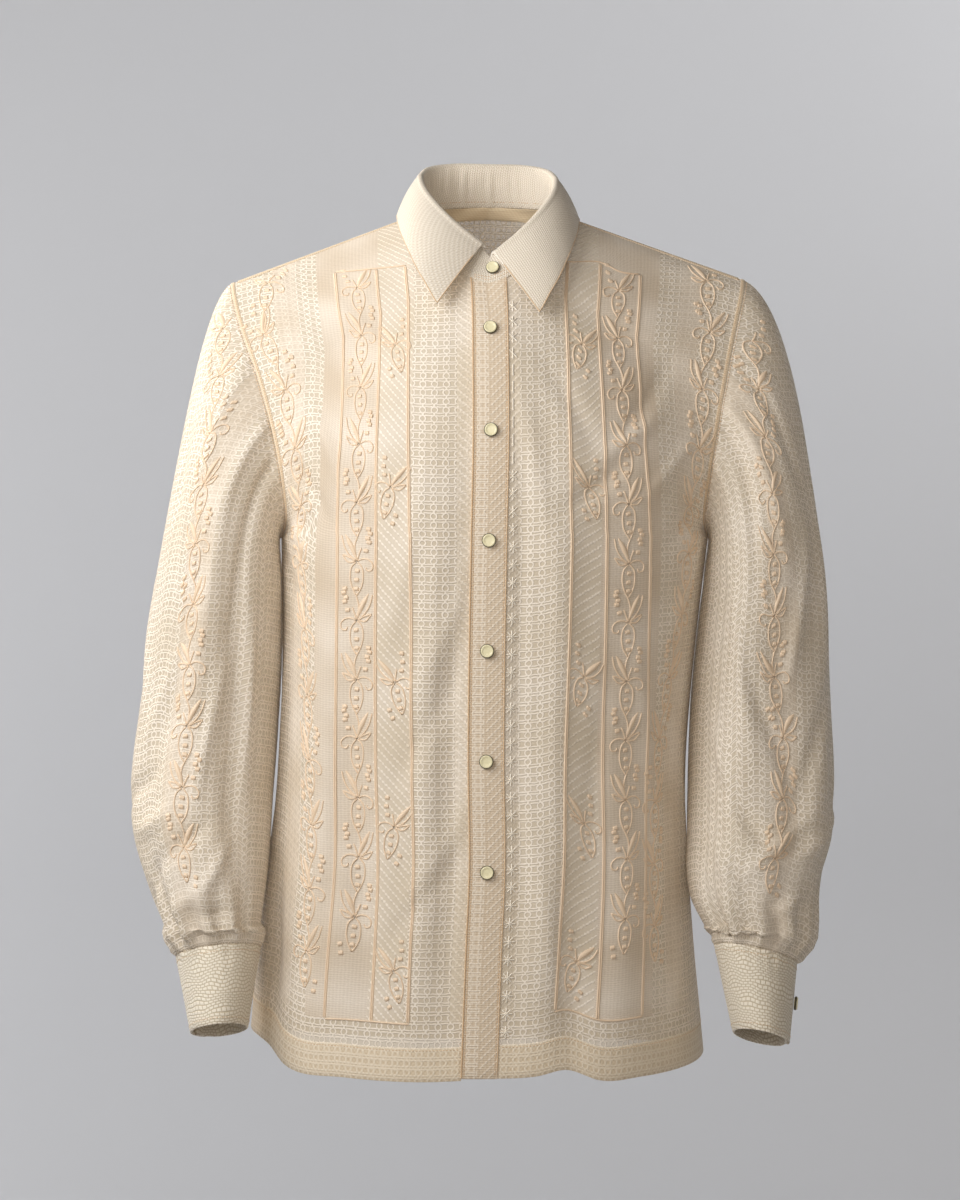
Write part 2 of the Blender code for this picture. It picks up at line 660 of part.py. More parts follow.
def fold_sleeve(side, grid, normals):
    """Lifts the sleeve's folds and the gathers above the cuff, clear of the seams at both ends."""
    angles = np.linspace(0, 360, SLEEVE_POINTS, endpoint=False)[None, :]
    height = grid[..., 2]
    lift = np.zeros_like(height)
    for i in range(len(SLEEVE_FOLDS["side"])):
        if SLEEVE_FOLDS["side"][i] != side:
            continue
        low, high = SLEEVE_FOLDS["low"][i], SLEEVE_FOLDS["high"][i]
        turn = angles - SLEEVE_FOLDS["angle"][i] - SLEEVE_FOLDS["lean"][i] * (height - (low + high) / 2)
        shape = np.exp(-((turn / SLEEVE_FOLDS["width"][i]) ** 2))
        lift += SLEEVE_FOLDS["depth"][i] * shape * fade(height, low, high, 0.10)
    cuff_height = CUFF[side]["top"][2]
    gather = np.cos(np.radians(angles) * GATHERS) * fade(height, cuff_height - 0.03, cuff_height + 0.075, 0.045)
    facing = fade(angles, 135, 235, 25)  # the side against the body lies smooth
    lift = (lift + GATHER_DEPTH * gather) * (1 - facing)
    lift[:2] = 0
    lift[-1] = 0
    return grid + normals * lift[..., None]


# ---------------------------------------------------------------- the pieces
def build_body(net):
    """Fronts, back and sleeves, sewn along shared seam lines."""
    grids = {(side, face): quarter(side, face) for side in (-1, 1) for face in (-1, 1)}
    lower_right_front(grids)
    outs = {}
    for (side, face), grid in grids.items():
        outs[side, face] = grid_normals(grid, np.array((0.25 * side, face, 0.1)))
    top = ROWS_BELOW + ROWS_ABOVE
    half_gap = SEAM_GAP / 2
    moved = {key: grid.copy() for key, grid in grids.items()}

    for side in (-1, 1):
        front, back = (side, -1), (side, 1)
        # Side seam, hem to underarm.
        rows = slice(0, ROWS_BELOW + 1)
        seam = grids[front][rows, -1]
        out, across = sewn(seam, outs[front][rows, -1], outs[back][rows, -1], grids[front][rows, -2])
        for key, way in ((front, -1), (back, 1)):
            outs[key][rows, -1] = out
            moved[key][rows, -1] = seam + way * across * half_gap
        # Shoulder seam, neck to tip.
        seam = grids[front][top]
        out, across = sewn(seam, outs[front][top], outs[back][top], grids[front][top - 1])
        for key, way in ((front, -1), (back, 1)):
            outs[key][top] = out
            moved[key][top] = seam + way * across * half_gap
            outs[key][top - 1] = unit(outs[key][top - 1] + 0.5 * out)

    for side in (-1, 1):
        front, back = (side, -1), (side, 1)
        rows = slice(ROWS_BELOW, top + 1)
        seam = armhole_ring(grids[front][rows, -1], grids[back][rows, -1])
        inside = armhole_ring(grids[front][rows, -2], grids[back][rows, -2])
        panel_out = armhole_ring(outs[front][rows, -1], outs[back][rows, -1])
        sleeve = sleeve_grid(side, seam)
        sleeve_out = grid_normals(sleeve, np.array((side * 1.0, 0, 0.0)), closed=True)
        if np.sum(sleeve_out[-3, 0] * (side, 0, 0)) < 0:
            sleeve_out = -sleeve_out
        sleeve = fold_sleeve(side, sleeve, sleeve_out)
        out, across = sewn(seam, unit(panel_out), sleeve_out[0], inside, closed=True)
        sleeve_out[0] = out
        sleeve_out[1] = unit(sleeve_out[1] + 0.4 * out)
        sleeve[0] = seam + across * half_gap
        sleeve_out[-1] = cuff_ring(side, 0.0, np.linspace(0, 2 * pi, SLEEVE_POINTS, endpoint=False))[1]
        sleeve_out[-2] = sleeve_out[-1]
        wall("sleeve_" + SIDE_NAMES[side], [(sleeve, sleeve - sleeve_out * CLOTH)], net, closed=True)

        corners = slice(0, None, 2)
        ring_out, ring_across = out[corners], across[corners]
        count = ROWS_ABOVE
        for key, order in ((front, list(range(count, -1, -1))), (back, list(range(count, 2 * count)) + [0])):
            picked = np.array(order)
            outs[key][rows, -1] = ring_out[picked]
            outs[key][rows.start + 1 : top + 1, -2] = unit(
                outs[key][rows.start + 1 : top + 1, -2] + 0.4 * ring_out[picked][1:]
            )
            moved[key][rows, -1] -= ring_across[picked] * half_gap
    return grids, outs, moved


def lower_right_front(grids):
    """Sinks the right front's edge below the placket that laps over it."""
    grid = grids[-1, -1]
    out = grid_normals(grid, np.array((0, -1, 0.1)))
    distance = np.abs(grid[..., 0])
    share = np.clip((0.055 - distance) / (0.055 - BAND_HALF), 0, 1)
    share = share**2 * (3 - 2 * share)
    grids[-1, -1] = grid - out * (UNDER_DROP * share)[..., None]


def band_points(grids):
    """The line down each edge of the front band, and the line between them, at the left front's level."""
    rows = ROWS_BELOW + ROWS_ABOVE - NECK_ROWS_FRONT + 1
    left = grids[1, -1][:rows, 0]
    right = left * (1, 1, 1) - (2 * BAND_HALF, 0, 0)
    right[-1] = neck_point(BAND_ANGLE) * (-1, 1, 1)
    middle = (left + right) / 2 - (0, BAND_CROWN, 0)
    middle[-1] = neck_point(0.0)
    return right, middle, left


def build_back(outs, moved, net):
    """The back in one piece, its two halves joined down the middle as far as the neck."""
    neck_row = ROWS_BELOW + ROWS_ABOVE - NECK_ROWS_BACK
    down_middle = unit(outs[-1, 1][:neck_row, 0] + outs[1, 1][:neck_row, 0])
    halves = []
    for side in (-1, 1):
        outs[side, 1][:neck_row, 0] = down_middle
        halves.append((moved[side, 1], moved[side, 1] - outs[side, 1] * CLOTH))
    wall("back", halves, net, joined_rows=neck_row)


def collar_line(side, places, name):
    """A line of the collar's table, read at angles round the neck."""
    columns = np.stack([COLLAR[name + axis] for axis in ("_x", "_y", "_z")], axis=1)
    line = smooth(places, COLLAR["angle"], columns)
    line[:, 2] -= side * COLLAR_SKEW * (1 - np.clip(places, 0, 180) / 180)
    line[:, 0] *= side
    return line


def fold_ways(side, places):
    """At angles round the neck, the level direction from the fold out to the leaf's edge."""
    way = collar_line(side, places, "edge") - collar_line(side, places, "fold")
    way[:, 2] = 0
    return unit(way)


def stand_top(side, places):
    """The outer face's top edge of the stand, at angles round the neck, also past the middle of the front."""
    start = COLLAR["angle"][0]
    inside = np.maximum(places, start)
    drop = FIRM_CLOTH / 2 + FOLD_RADIUS + FOLD_RISE
    top = collar_line(side, inside, "fold") - (0, 0, drop)
    top -= fold_ways(side, inside) * (FOLD_RADIUS - FIRM_CLOTH / 2)
    past = np.radians(inside - places) * NECK_HALF_WIDTH
    top[:, 0] -= side * past * 0.95
    top[:, 2] -= past * 0.25
    return top


def neck_angles():
    """The angles round the neck of the neckline's rows, in degrees, from the middle of the front to the back."""
    front = np.linspace(BAND_ANGLE, SHOULDER_ANGLE, NECK_ROWS_FRONT + 1)
    back = np.linspace(SHOULDER_ANGLE, pi, NECK_ROWS_BACK + 1)
    return np.degrees(np.concatenate(([0.0], front, back[1:])))


def with_between(values):
    """Adds a value between every two: where the leaf starts for the first pair, halfway for the others."""
    share = np.full(len(values) - 1, 0.5)
    share[0] = LEAF_START
    share = share.reshape(-1, *[1] * (values.ndim - 1))
    mixed = np.empty((2 * len(values) - 1, *values.shape[1:]))
    mixed[::2] = values
    mixed[1::2] = values[:-1] * (1 - share) + values[1:] * share
    return mixed


def build_collar(outs, moved, firm):
    """The stand round the neck, its left end lapping over the right one, and the leaf folded over it."""
    sides = []
    for side in (1, -1):
        neckline = [neck_point(angle) * (side, 1, 1) for angle in np.radians(neck_angles())]
        points = with_between(np.array(neckline))
        places = with_between(neck_angles())
        past = (points[0] * (1 - STAND_END / BAND_HALF) + points[2] * STAND_END / BAND_HALF) * (-1, 1, 1)
        halfway = points[1] * (-1, 1, 1)
        points = np.concatenate(([past, halfway], points))
        ends = -places[2] * STAND_END / BAND_HALF
        places = np.concatenate(([ends, -places[1]], places))
        sides.append((side, points, places, stand_top(side, places)))
    (_, left, left_places, left_top), (_, right, right_places, right_top) = sides
    foot = np.concatenate((left, right[-2::-1]))
    top = np.concatenate((left_top, right_top[-2::-1]))
    places = np.concatenate((left_places, right_places[-2::-1]))
    across_middle = np.concatenate((left[:, 0], -right[-2::-1, 0]))

    share = np.clip((np.abs(foot[:, 0]) - (STAND_END - STAND_CORNER)) / STAND_CORNER, 0, 1)
    rounding = np.where(places < 0, 0.30 + 0.70 * np.sqrt(1 - 0.98 * share**2), 1.0)
    lowered = 1 - UNDER_END_DROP * np.clip((6 - places) / 10, 0, 1)
    rounding[len(left) :] *= lowered[len(left) :]
    top = foot + (top - foot) * rounding[:, None]

    stand = np.stack((foot, (foot + top) / 2, top))
    stand_out = grid_normals(stand, np.array((0, 0, 0)) + unit(foot - (0, NECK_MIDDLE, 0)) * (1, 1, 0))
    # The panels' directions along the neckline, in the stand's order.
    panel_out = neck_directions(outs)
    seam_out, seam_across = sewn(foot, panel_out, stand_out[0], foot - (0, 0, 0.02))
    stand_out[0] = seam_out
    stand_out[1] = unit(stand_out[1] + 0.25 * seam_out)
    stand_out[2] = unit(stand_out[2] * (1, 1, 0))

    count = len(left)
    order = np.arange(len(foot))
    reach = np.abs(foot[:, 0])
    near = 1 - np.clip((reach - STAND_END - 0.004) / 0.03, 0, 1)
    near = near**2 * (3 - 2 * near) * (np.abs(places) < 60)
    sunk = FIRM_CLOTH - BAND_PROUD + SEAM_GAP + LAP_CLEARANCE
    level = np.where(order < count, BAND_PROUD, -sunk) * near
    stand = stand + stand_out * level[None, :, None]
    stand[0] += seam_across * SEAM_GAP / 2
    wall("collar_stand", [(stand, stand - stand_out * FIRM_CLOTH)], firm)
    trim_neckline(moved, outs, seam_out, seam_across)

    build_leaf(firm)
    return stand, stand_out, (seam_out, seam_across)


def neck_directions(outs):
    """The fronts' and back's directions out of the cloth along the neckline, in the stand's order."""
    top = ROWS_BELOW + ROWS_ABOVE
    halves = []
    for side in (1, -1):
        front = outs[side, -1][top - NECK_ROWS_FRONT : top + 1, 0]
        back = outs[side, 1][top - NECK_ROWS_BACK : top, 0][::-1]
        line = with_between(np.concatenate(([(0.0, front[0][1], front[0][2])], front, back)))
        line = np.concatenate((line[[2, 1]] * (-1, 1, 1), line))
        halves.append(unit(line))
    return np.concatenate((halves[0], halves[1][-2::-1]))


def trim_neckline(moved, outs, seam_out, seam_across):
    """Gives the panels' neck edges the stand's directions, and draws them back from the seam."""
    top = ROWS_BELOW + ROWS_ABOVE
    total = len(seam_out)
    for side in (1, -1):
        for face, rows in ((-1, NECK_ROWS_FRONT), (1, NECK_ROWS_BACK)):
            for k in range(rows + 1):
                row = top - rows + k
                place = BAND_PLACE + 2 * (k if face < 0 else NECK_ROWS_FRONT + NECK_ROWS_BACK - k)
                if side < 0:
                    place = total - 1 - place
                moved[side, face][row, 0] -= seam_across[place] * SEAM_GAP / 2
                outs[side, face][row, 0] = seam_out[place]
                if row < top:
                    outs[side, face][row, 1] = unit(outs[side, face][row, 1] + 0.4 * seam_out[place])


def build_leaf(firm):
    """The pointed leaf: up from the stand, over the fold and down to its edge."""
    halves = []
    for side in (1, -1):
        places = with_between(neck_angles())[1:]
        fold = collar_line(side, places, "fold")
        edge = collar_line(side, places, "edge")
        way = fold_ways(side, places)
        up = np.array((0, 0, 1.0))
        middle = fold - up * (FIRM_CLOTH / 2 + FOLD_RADIUS)
        lines, outs = [], []
        foot = middle - way * FOLD_RADIUS - up * (FOLD_RISE - SEAM_GAP)
        lines.append(foot)
        outs.append(-way)
        for angle in (150, 100, 50, 10):
            out = way * cos(radians(angle)) + up * sin(radians(angle))
            lines.append(middle + out * FOLD_RADIUS)
            outs.append(out)
        start = lines[-1]
        fall = edge - start
        along = unit(np.gradient(edge, axis=0))
        out = unit(np.cross(along, fall))
        out *= np.sign(np.sum(out * way, axis=1, keepdims=True))
        for share, bulge in ((0.33, 0.0016), (0.68, 0.0018), (1.0, 0.0)):
            lines.append(start + fall * share + out * bulge)
            outs.append(unit(out + 0.25 * (1 - share) * outs[4]))
        halves.append((np.array(lines), np.array(outs)))
    lines = np.concatenate((halves[0][0], halves[1][0][:, -2::-1]), axis=1)
    outs = np.concatenate((halves[0][1], halves[1][1][:, -2::-1]), axis=1)
    half_cloth = outs * FIRM_CLOTH / 2
    wall("collar_leaf", [(lines + half_cloth, lines - half_cloth)], firm)


def build_bands(grids, outs, moved, seam, firm_net):
    """The placket on top and the button stand under it, their top edges on the neck seam."""
    right, middle, left = band_points(grids)
    count = len(left)
    out = unit(outs[1, -1][:count, 0] * (0, 1, 1))
    columns = np.stack((right, middle, left), axis=1)
    spread = np.stack((out, out, out), axis=1)
    seam_out, seam_across = seam
    mirror = np.array((-1, 1, 1))
    spread[-1] = (seam_out[BAND_PLACE] * mirror, seam_out[MIDDLE_PLACE], seam_out[BAND_PLACE])
    across = np.array((seam_across[BAND_PLACE] * mirror, seam_across[MIDDLE_PLACE], seam_across[BAND_PLACE]))
    columns[-1] -= across * SEAM_GAP / 2
    half_gap = np.array((SEAM_GAP / 2, 0, 0))

    # The placket's edge and directions on its seam are the left front's.
    placket, placket_out = columns.copy(), spread.copy()
    placket[:, 2] = moved[1, -1][:count, 0] - half_gap
    placket_out[:, 2] = outs[1, -1][:count, 0]
    placket += placket_out * BAND_PROUD
    wall("placket", [(placket, placket - placket_out * BAND_CLOTH)], firm_net)

    # The button stand's are the right front's.
    under, under_out = columns - spread * UNDER_DROP, spread.copy()
    under[:, 0] = moved[-1, -1][:count, 0] + half_gap
    under_out[:, 0] = outs[-1, -1][:count, 0]
    under[:, 2] += (under[:, 1] - under[:, 2]) * UNDER_INSET / BAND_HALF
    wall("button_stand", [(under, under - under_out * BAND_CLOTH)], firm_net)
    return placket, out


def build_cuff(side, firm):
    """A cuff: one band round the wrist, its outer end lapping over the inner one."""
    steps = np.arange(CUFF_FIRST, CUFF_LAST + 1)
    angles = (steps - CUFF[side]["turned"]) * CUFF_STEP
    lap_start = CUFF_FIRST + round(2 * pi / CUFF_STEP)
    under = np.clip((steps - lap_start + 4) / 3, 0, 1) * (FIRM_CLOTH + SEAM_GAP + LAP_CLEARANCE)
    rings, outs = [], []
    for share in (0.0, 0.5, 1.0):
        ring, out = cuff_ring(side, share, angles, under)
        rings.append(ring)
        outs.append(out)
    outer, out = np.array(rings), np.array(outs)
    wall("cuff_" + SIDE_NAMES[side], [(outer, outer - out * FIRM_CLOTH)], firm)
    return outer[1], grid_normals(outer, out)[1]


def button(name, seat, out, turned):
    """A flat button with rounded rims, turned about its own axis and laid on its seat."""
    piece = bpy.data.objects.new(name, turned)
    spin = piece.modifiers.new("turn", "SCREW")
    spin.steps = spin.render_steps = 16
    spin.use_merge_vertices = True
    spin.merge_threshold = 0.00005
    piece.location = seat + unit(out) * SEAM_GAP * 1.5
    piece.rotation_euler = Vector(out).to_track_quat("Z", "Y").to_euler()
    SHIRT.objects.link(piece)
    return piece


def button_profile(material):
    """Half the section of a button, from the middle of its face round the rim to the middle of its back."""
    rim = 0.0007
    outline = (
        (0.0, BUTTON_THICKNESS),
        (BUTTON_RADIUS - rim, BUTTON_THICKNESS),
        (BUTTON_RADIUS, BUTTON_THICKNESS - rim),
        (BUTTON_RADIUS, rim),
        (BUTTON_RADIUS - rim, 0.0),
        (0.0, 0.0),
    )
    mesh = bpy.data.meshes.new("button_profile")
    points = [(x, 0.0, z) for x, z in outline]
    mesh.from_pydata(points, [(k, k + 1) for k in range(len(points) - 1)], [])
    mesh.materials.append(material)
    return mesh


def build_buttons(placket, placket_out, stand, stand_out, cuffs):
    shell = cloth_material("pale_shell_button", (0.73, 0.68, 0.42), 0.30)
    profile = button_profile(shell)
    heights = placket[:, 1, 2]
    for number, height in enumerate(BUTTON_HEIGHTS, 1):
        seat = np.array([np.interp(height, heights, placket[:, 1, k]) for k in range(3)])
        out = np.array([np.interp(height, heights, placket_out[:, k]) for k in range(3)])
        button(f"button_front_{number}", seat, out, profile)
    nearest = int(np.argmin(np.abs(stand[1, :8, 0] - COLLAR_BUTTON_X)))
    button("button_collar", stand[1, nearest], stand_out[1, nearest], profile)
    for side, (ring, out) in cuffs.items():
        place = CUFF_BUTTON_STEP - CUFF_FIRST
        button("button_cuff_" + SIDE_NAMES[side], ring[place], out[place], profile)


def main():
    net = cloth_material("ecru_net", (0.80, 0.70, 0.53), 0.65)
    firm_net = cloth_material("doubled_net", (0.76, 0.66, 0.50), 0.65)
    firm = cloth_material("firm_weave", (0.80, 0.71, 0.55), 0.70)
    grids, outs, moved = build_body(net)
    stand, stand_out, neck = build_collar(outs, moved, firm)
    placket, placket_out = build_bands(grids, outs, moved, neck, firm_net)
    for side in (-1, 1):
        key = (side, -1)
        moved[key][:, 0] += (side * SEAM_GAP / 2, 0, 0)
        wall("front_" + SIDE_NAMES[side], [(moved[key], moved[key] - outs[key] * CLOTH)], net)
    build_back(outs, moved, net)
    cuffs = {side: build_cuff(side, firm) for side in (-1, 1)}
    build_buttons(placket, placket_out, stand, stand_out, cuffs)


for old in list(bpy.data.objects):
    bpy.data.objects.remove(old, do_unlink=True)
SHIRT = collection_named("barong_tagalog_shirt")
main()
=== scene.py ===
# %% [markdown]
# # A barong tagalog shirt
# The barong tagalog is the formal shirt of the Philippines: sheer net, a long buttoned band, gathered
# sleeves, and columns of embroidery beside the buttons. It is shown filled out, with nobody in it.
#
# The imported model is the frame. It holds a plain solid for every piece that a tailor would cut, and
# it says where each one lies. This lesson makes a finer version of every cloth piece on the same
# lines, dresses it in net, thread and stitches, and lights it as in a studio.

import json
from math import cos, pi, radians, sin

import bmesh
import bpy
import numpy as np
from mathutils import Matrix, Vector
from mathutils.bvhtree import BVHTree

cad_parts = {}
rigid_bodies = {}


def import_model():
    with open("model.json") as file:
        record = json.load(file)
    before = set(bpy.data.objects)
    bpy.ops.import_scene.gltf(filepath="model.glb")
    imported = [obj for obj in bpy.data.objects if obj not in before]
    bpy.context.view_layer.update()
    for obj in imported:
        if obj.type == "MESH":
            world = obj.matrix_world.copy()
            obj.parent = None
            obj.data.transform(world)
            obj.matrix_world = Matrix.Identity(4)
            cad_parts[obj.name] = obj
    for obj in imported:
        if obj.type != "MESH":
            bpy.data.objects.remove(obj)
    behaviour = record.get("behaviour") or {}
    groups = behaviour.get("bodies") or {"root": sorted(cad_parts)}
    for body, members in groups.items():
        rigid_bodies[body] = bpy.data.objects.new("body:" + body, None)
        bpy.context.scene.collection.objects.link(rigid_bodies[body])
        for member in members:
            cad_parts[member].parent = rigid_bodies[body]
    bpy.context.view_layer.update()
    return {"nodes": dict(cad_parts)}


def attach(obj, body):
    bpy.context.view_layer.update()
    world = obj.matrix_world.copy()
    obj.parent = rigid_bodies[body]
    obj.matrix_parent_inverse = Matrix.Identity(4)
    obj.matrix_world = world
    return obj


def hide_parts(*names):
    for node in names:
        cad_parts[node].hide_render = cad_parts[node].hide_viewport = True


for leftover in list(bpy.data.objects):
    bpy.data.objects.remove(leftover, do_unlink=True)
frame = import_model()

# %% [markdown]
# ## Two helpers for every material
# Colours are given as sRGB hex values, as a screen shows them. Blender's shaders work in linear light,
# and one function turns the first into the second. A second function adds a node, sets it and links
# it, so that each material below reads as the list of its steps.

# %% Colours and nodes


def linear(hex_colour):
    """An sRGB hex colour as linear red, green, blue and alpha."""
    channels = [int(hex_colour[i : i + 2], 16) / 255 for i in (1, 3, 5)]
    return tuple(c / 12.92 if c <= 0.04045 else ((c + 0.055) / 1.055) ** 2.4 for c in channels) + (1.0,)


def add(tree, kind, *inputs, **settings):
    """Adds a node of a kind such as "Mix" or "Math ADD", which also names the operation. The inputs go to its
    sockets in order: numbers, colours, sockets, or nodes whose first output is meant. None leaves a socket as
    it is. The settings are the node's own, or those of its sockets where they start with a capital."""
    kind, *operation = kind.split()
    node = tree.nodes.new("ShaderNode" + kind)
    if operation:
        node.operation = operation[0]
    for name, value in settings.items():
        if name[0].isupper():
            node.inputs[name].default_value = value
        else:
            setattr(node, name, value)
    sockets = [socket for socket in node.inputs if socket.enabled]
    for socket, value in zip(sockets, inputs):
        if isinstance(value, bpy.types.Node):
            value = next(output for output in value.outputs if output.enabled)
        if isinstance(value, bpy.types.NodeSocket):
            tree.links.new(value, socket)
        elif value is not None:
            socket.default_value = value
    return node


def new_material(name, colour, roughness):
    """A material with its Principled shader's plain values set. Returns it with its tree and shader."""
    material = bpy.data.materials.new(name)
    material.use_nodes = True
    tree = material.node_tree
    shader = tree.nodes["Principled BSDF"]
    shader.inputs["Base Color"].default_value = linear(colour)
    shader.inputs["Roughness"].default_value = roughness
    return material, tree, shader


print("a warm white such as #F3E8D5 is", [round(c, 3) for c in linear("#F3E8D5")], "in linear light")

# %% [markdown]
# ## The lines of the body
# A shirt's body is a tube of cloth that hangs from the shoulders. A tailor knows it by a few lines: the
# middle of the front and of the back, the side seams, the neckline and the two armholes. They could be
# drawn as curve objects, but short tables are easier to measure, so each line is a table of points in
# metres, read through a smooth curve. The frame's solids were made on the same lines.

# %% Curves


def table(columns, numbers):
    """A table with named columns, written row after row: a dictionary with one array for each column."""
    names = columns.split()
    return dict(zip(names, np.array(numbers.split(), dtype=float).reshape(-1, len(names)).T))


def smooth(place, places, values):
    """Reads a smooth curve through a table's points. places must rise."""
    values = np.asarray(values, dtype=float)
    slopes = np.gradient(values, places, axis=0)
    place = np.clip(np.asarray(place, dtype=float), places[0], places[-1])
    i = np.clip(np.searchsorted(places, place) - 1, 0, len(places) - 2)
    width = places[i + 1] - places[i]
    t = (place - places[i]) / width
    if values.ndim > 1:
        t = t[..., None]
        width = width[..., None]
    start = (1 + 2 * t) * (1 - t) ** 2 * values[i] + t * (1 - t) ** 2 * width * slopes[i]
    return start + t**2 * (3 - 2 * t) * values[i + 1] + t**2 * (t - 1) * width * slopes[i + 1]


def unit(vectors):
    """The same directions, one long."""
    return vectors / np.maximum(np.linalg.norm(vectors, axis=-1, keepdims=True), 1e-12)


def read(lines, column, height):
    """A column of a table at a height."""
    return float(smooth(height, lines["height"], lines[column]))


def rows_of(lines, side):
    """The rows of a table that belong to a side, each with its values by name."""
    return [{name: column[i] for name, column in lines.items()} for i in np.flatnonzero(lines["side"] == side)]


def lengths(points, axis=0):
    """How far each point lies along its line, or along its column (axis 0) or row (axis 1) of a grid."""
    steps = np.linalg.norm(np.diff(points, axis=axis), axis=-1)
    start = np.zeros_like(np.take(points[..., 0], [0], axis))
    return np.concatenate((start, np.cumsum(steps, axis=axis)), axis=axis)


def between(places, along, points):
    """Reads a line at places along it, going straight from point to point."""
    return np.stack([np.interp(places, along, axis) for axis in points.T], axis=1)


def even_out(points, count):
    """The same curve as count + 1 points, spaced evenly along it."""
    along = lengths(points)
    return between(np.linspace(0, along[-1], count + 1), along, points)


def soft(share):
    """A share held between 0 and 1, with a soft start and a soft end."""
    share = np.clip(share, 0, 1)
    return share**2 * (3 - 2 * share)


def fade(place, low, high, margin):
    """1 well inside low..high, falling softly to 0 over a margin at each end."""
    return soft(np.minimum(place - low, high - place) / margin)


# %% The body's sizes
CLOTH = 0.0012  # the thickness of the solids that stand for the net
FIRM_CLOTH = 0.0020  # and of those for collar and cuffs
SEAM_GAP = 0.0003  # between two solids at a seam
HEM = -0.766
UNDERARM = -0.288
BODY_CLEARANCE = 0.0020  # from a sleeve to the body's side
ROUNDNESS = 0.62  # the pull of a row's handles, as a share of its width and depth
SHOULDER_ROUNDNESS = 0.42  # the same at the shoulder
MIDDLE_FADE = 0.012  # the folds start softly over this width, from the band or the back's middle
SIDE_FADE = 0.050  # and end softly over this one, before the side seam
BAND_HALF = 0.016  # half the width of the buttoned band
BAND_CROWN = 0.0006  # how far its middle bulges
BAND_PROUD = 0.0006  # how far it stands before the left front
UNDER_DROP = 0.0013  # how far the button stand and the right front's edge lie behind the left front
NECK_HALF_WIDTH = 0.0705
NECK_HALF_DEPTH = 0.0680
NECK_MIDDLE = -0.0135
NECK_FRONT_HEIGHT = -0.0615
NECK_BACK_HEIGHT = 0.0230
NECK_RISE_POWER = 0.62
NECK_SHOULDER_RISE = 0.0075
SHOULDER_ANGLE = radians(105.8)
BAND_ANGLE = float(np.arcsin(BAND_HALF / NECK_HALF_WIDTH))

# The body, level by level: how far its middle lies from the origin's, and half its width at the side seams.
BODY = table("height centre half_width", """
-.766 -.01 .208
-.65 -.011 .1988
-.5 -.0055 .1868
-.4 0 .189
-.288 .006 .196
""")
# The middle of the front, from the hem up to the neck.
FRONT_LINE = table("height centre depth", """
-.766 -.0083 -.14
-.65 -.004 -.132
-.585 -.0012 -.129
-.49 -.0021 -.126
-.39 -.0012 -.1255
-.292 .0005 -.127
-.195 .0023 -.1235
-.13 .002 -.112
-.09 .0016 -.096
-.0615 .0005 -.0815
""")
# The middle of the back, from the hem up to the neck.
BACK_LINE = table("height depth", """
-.766 .133  -.65 .123  -.5 .113  -.4 .1135  -.288 .119  -.2 .124  -.13 .12  -.06 .103  -.01 .08  .023 .0545
""")
# The armhole seam on the left side, from the underarm up the front to the shoulder's tip.
ARMHOLE_FRONT = table("x y z", """
.196 0 -.288
.1905 -.036 -.272
.1945 -.056 -.23
.203 -.057 -.183
.215 -.046 -.133
.2265 -.029 -.096
.2345 -.011 -.0665
.2365 .002 -.057
""")
# The same seam up the back.
ARMHOLE_BACK = table("x y z", """
.196 0 -.288
.1935 .038 -.272
.1985 .062 -.225
.208 .064 -.175
.2195 .053 -.128
.23 .033 -.088
.2352 .015 -.0645
.2365 .002 -.057
""")
# How far the armholes and the chest lie to the wearer's left of the middle.
ARMHOLE_SHIFT = table("height shift", """
-.288 .006  -.22 .0065  -.15 .004  -.09 0  -.05 0
""")
# How much higher the shoulder's tip lies than in the armhole's tables, and how each sleeve hangs from it: how
# full its head is and how far its outer line leans in, both as shares of the sleeve's length below it.
SHOULDER = {
    -1: {"lift": 0.0035, "full": 0.10, "lean": 0.18},
    1: {"lift": 0.0065, "full": 0.16, "lean": 0.10},
}
SHOULDER_LIFT_FROM = -0.140

# Rows and columns of points, six times as fine as the solids' own.
ROWS_BELOW = 48
ROWS_ABOVE = 72
NECK_ROWS_FRONT = 30
NECK_ROWS_BACK = 24
PANEL_COLUMNS = 84
TOP = ROWS_BELOW + ROWS_ABOVE
SIDE_NAMES = {-1: "right", 1: "left"}  # the wearer's right is at -X
print("each quarter of the body is", TOP + 1, "by", PANEL_COLUMNS + 1, "points")

# %% Neckline, middle, sides and armholes


def neck_point(angle):
    """The neckline's point at an angle round the neck, from the middle of the front (0) to the back (pi)."""
    turn = (1 - cos(angle)) / 2
    height = NECK_FRONT_HEIGHT + (NECK_BACK_HEIGHT - NECK_FRONT_HEIGHT) * turn**NECK_RISE_POWER
    height += NECK_SHOULDER_RISE * np.exp(-(((angle - SHOULDER_ANGLE) / 0.6) ** 2))
    return np.array((NECK_HALF_WIDTH * sin(angle), NECK_MIDDLE - NECK_HALF_DEPTH * cos(angle), height))


def body_centre(height):
    """How far the body's middle lies from the origin's at a height."""
    return read(BODY, "centre", height) if height <= UNDERARM else read(ARMHOLE_SHIFT, "shift", height)


def row_start(side, face, height):
    """Where a row starts: at the band's edge in front, at the middle of the back."""
    if face < 0:
        return read(FRONT_LINE, "centre", height) + side * BAND_HALF, read(FRONT_LINE, "depth", height), height
    return body_centre(height), read(BACK_LINE, "depth", height), height


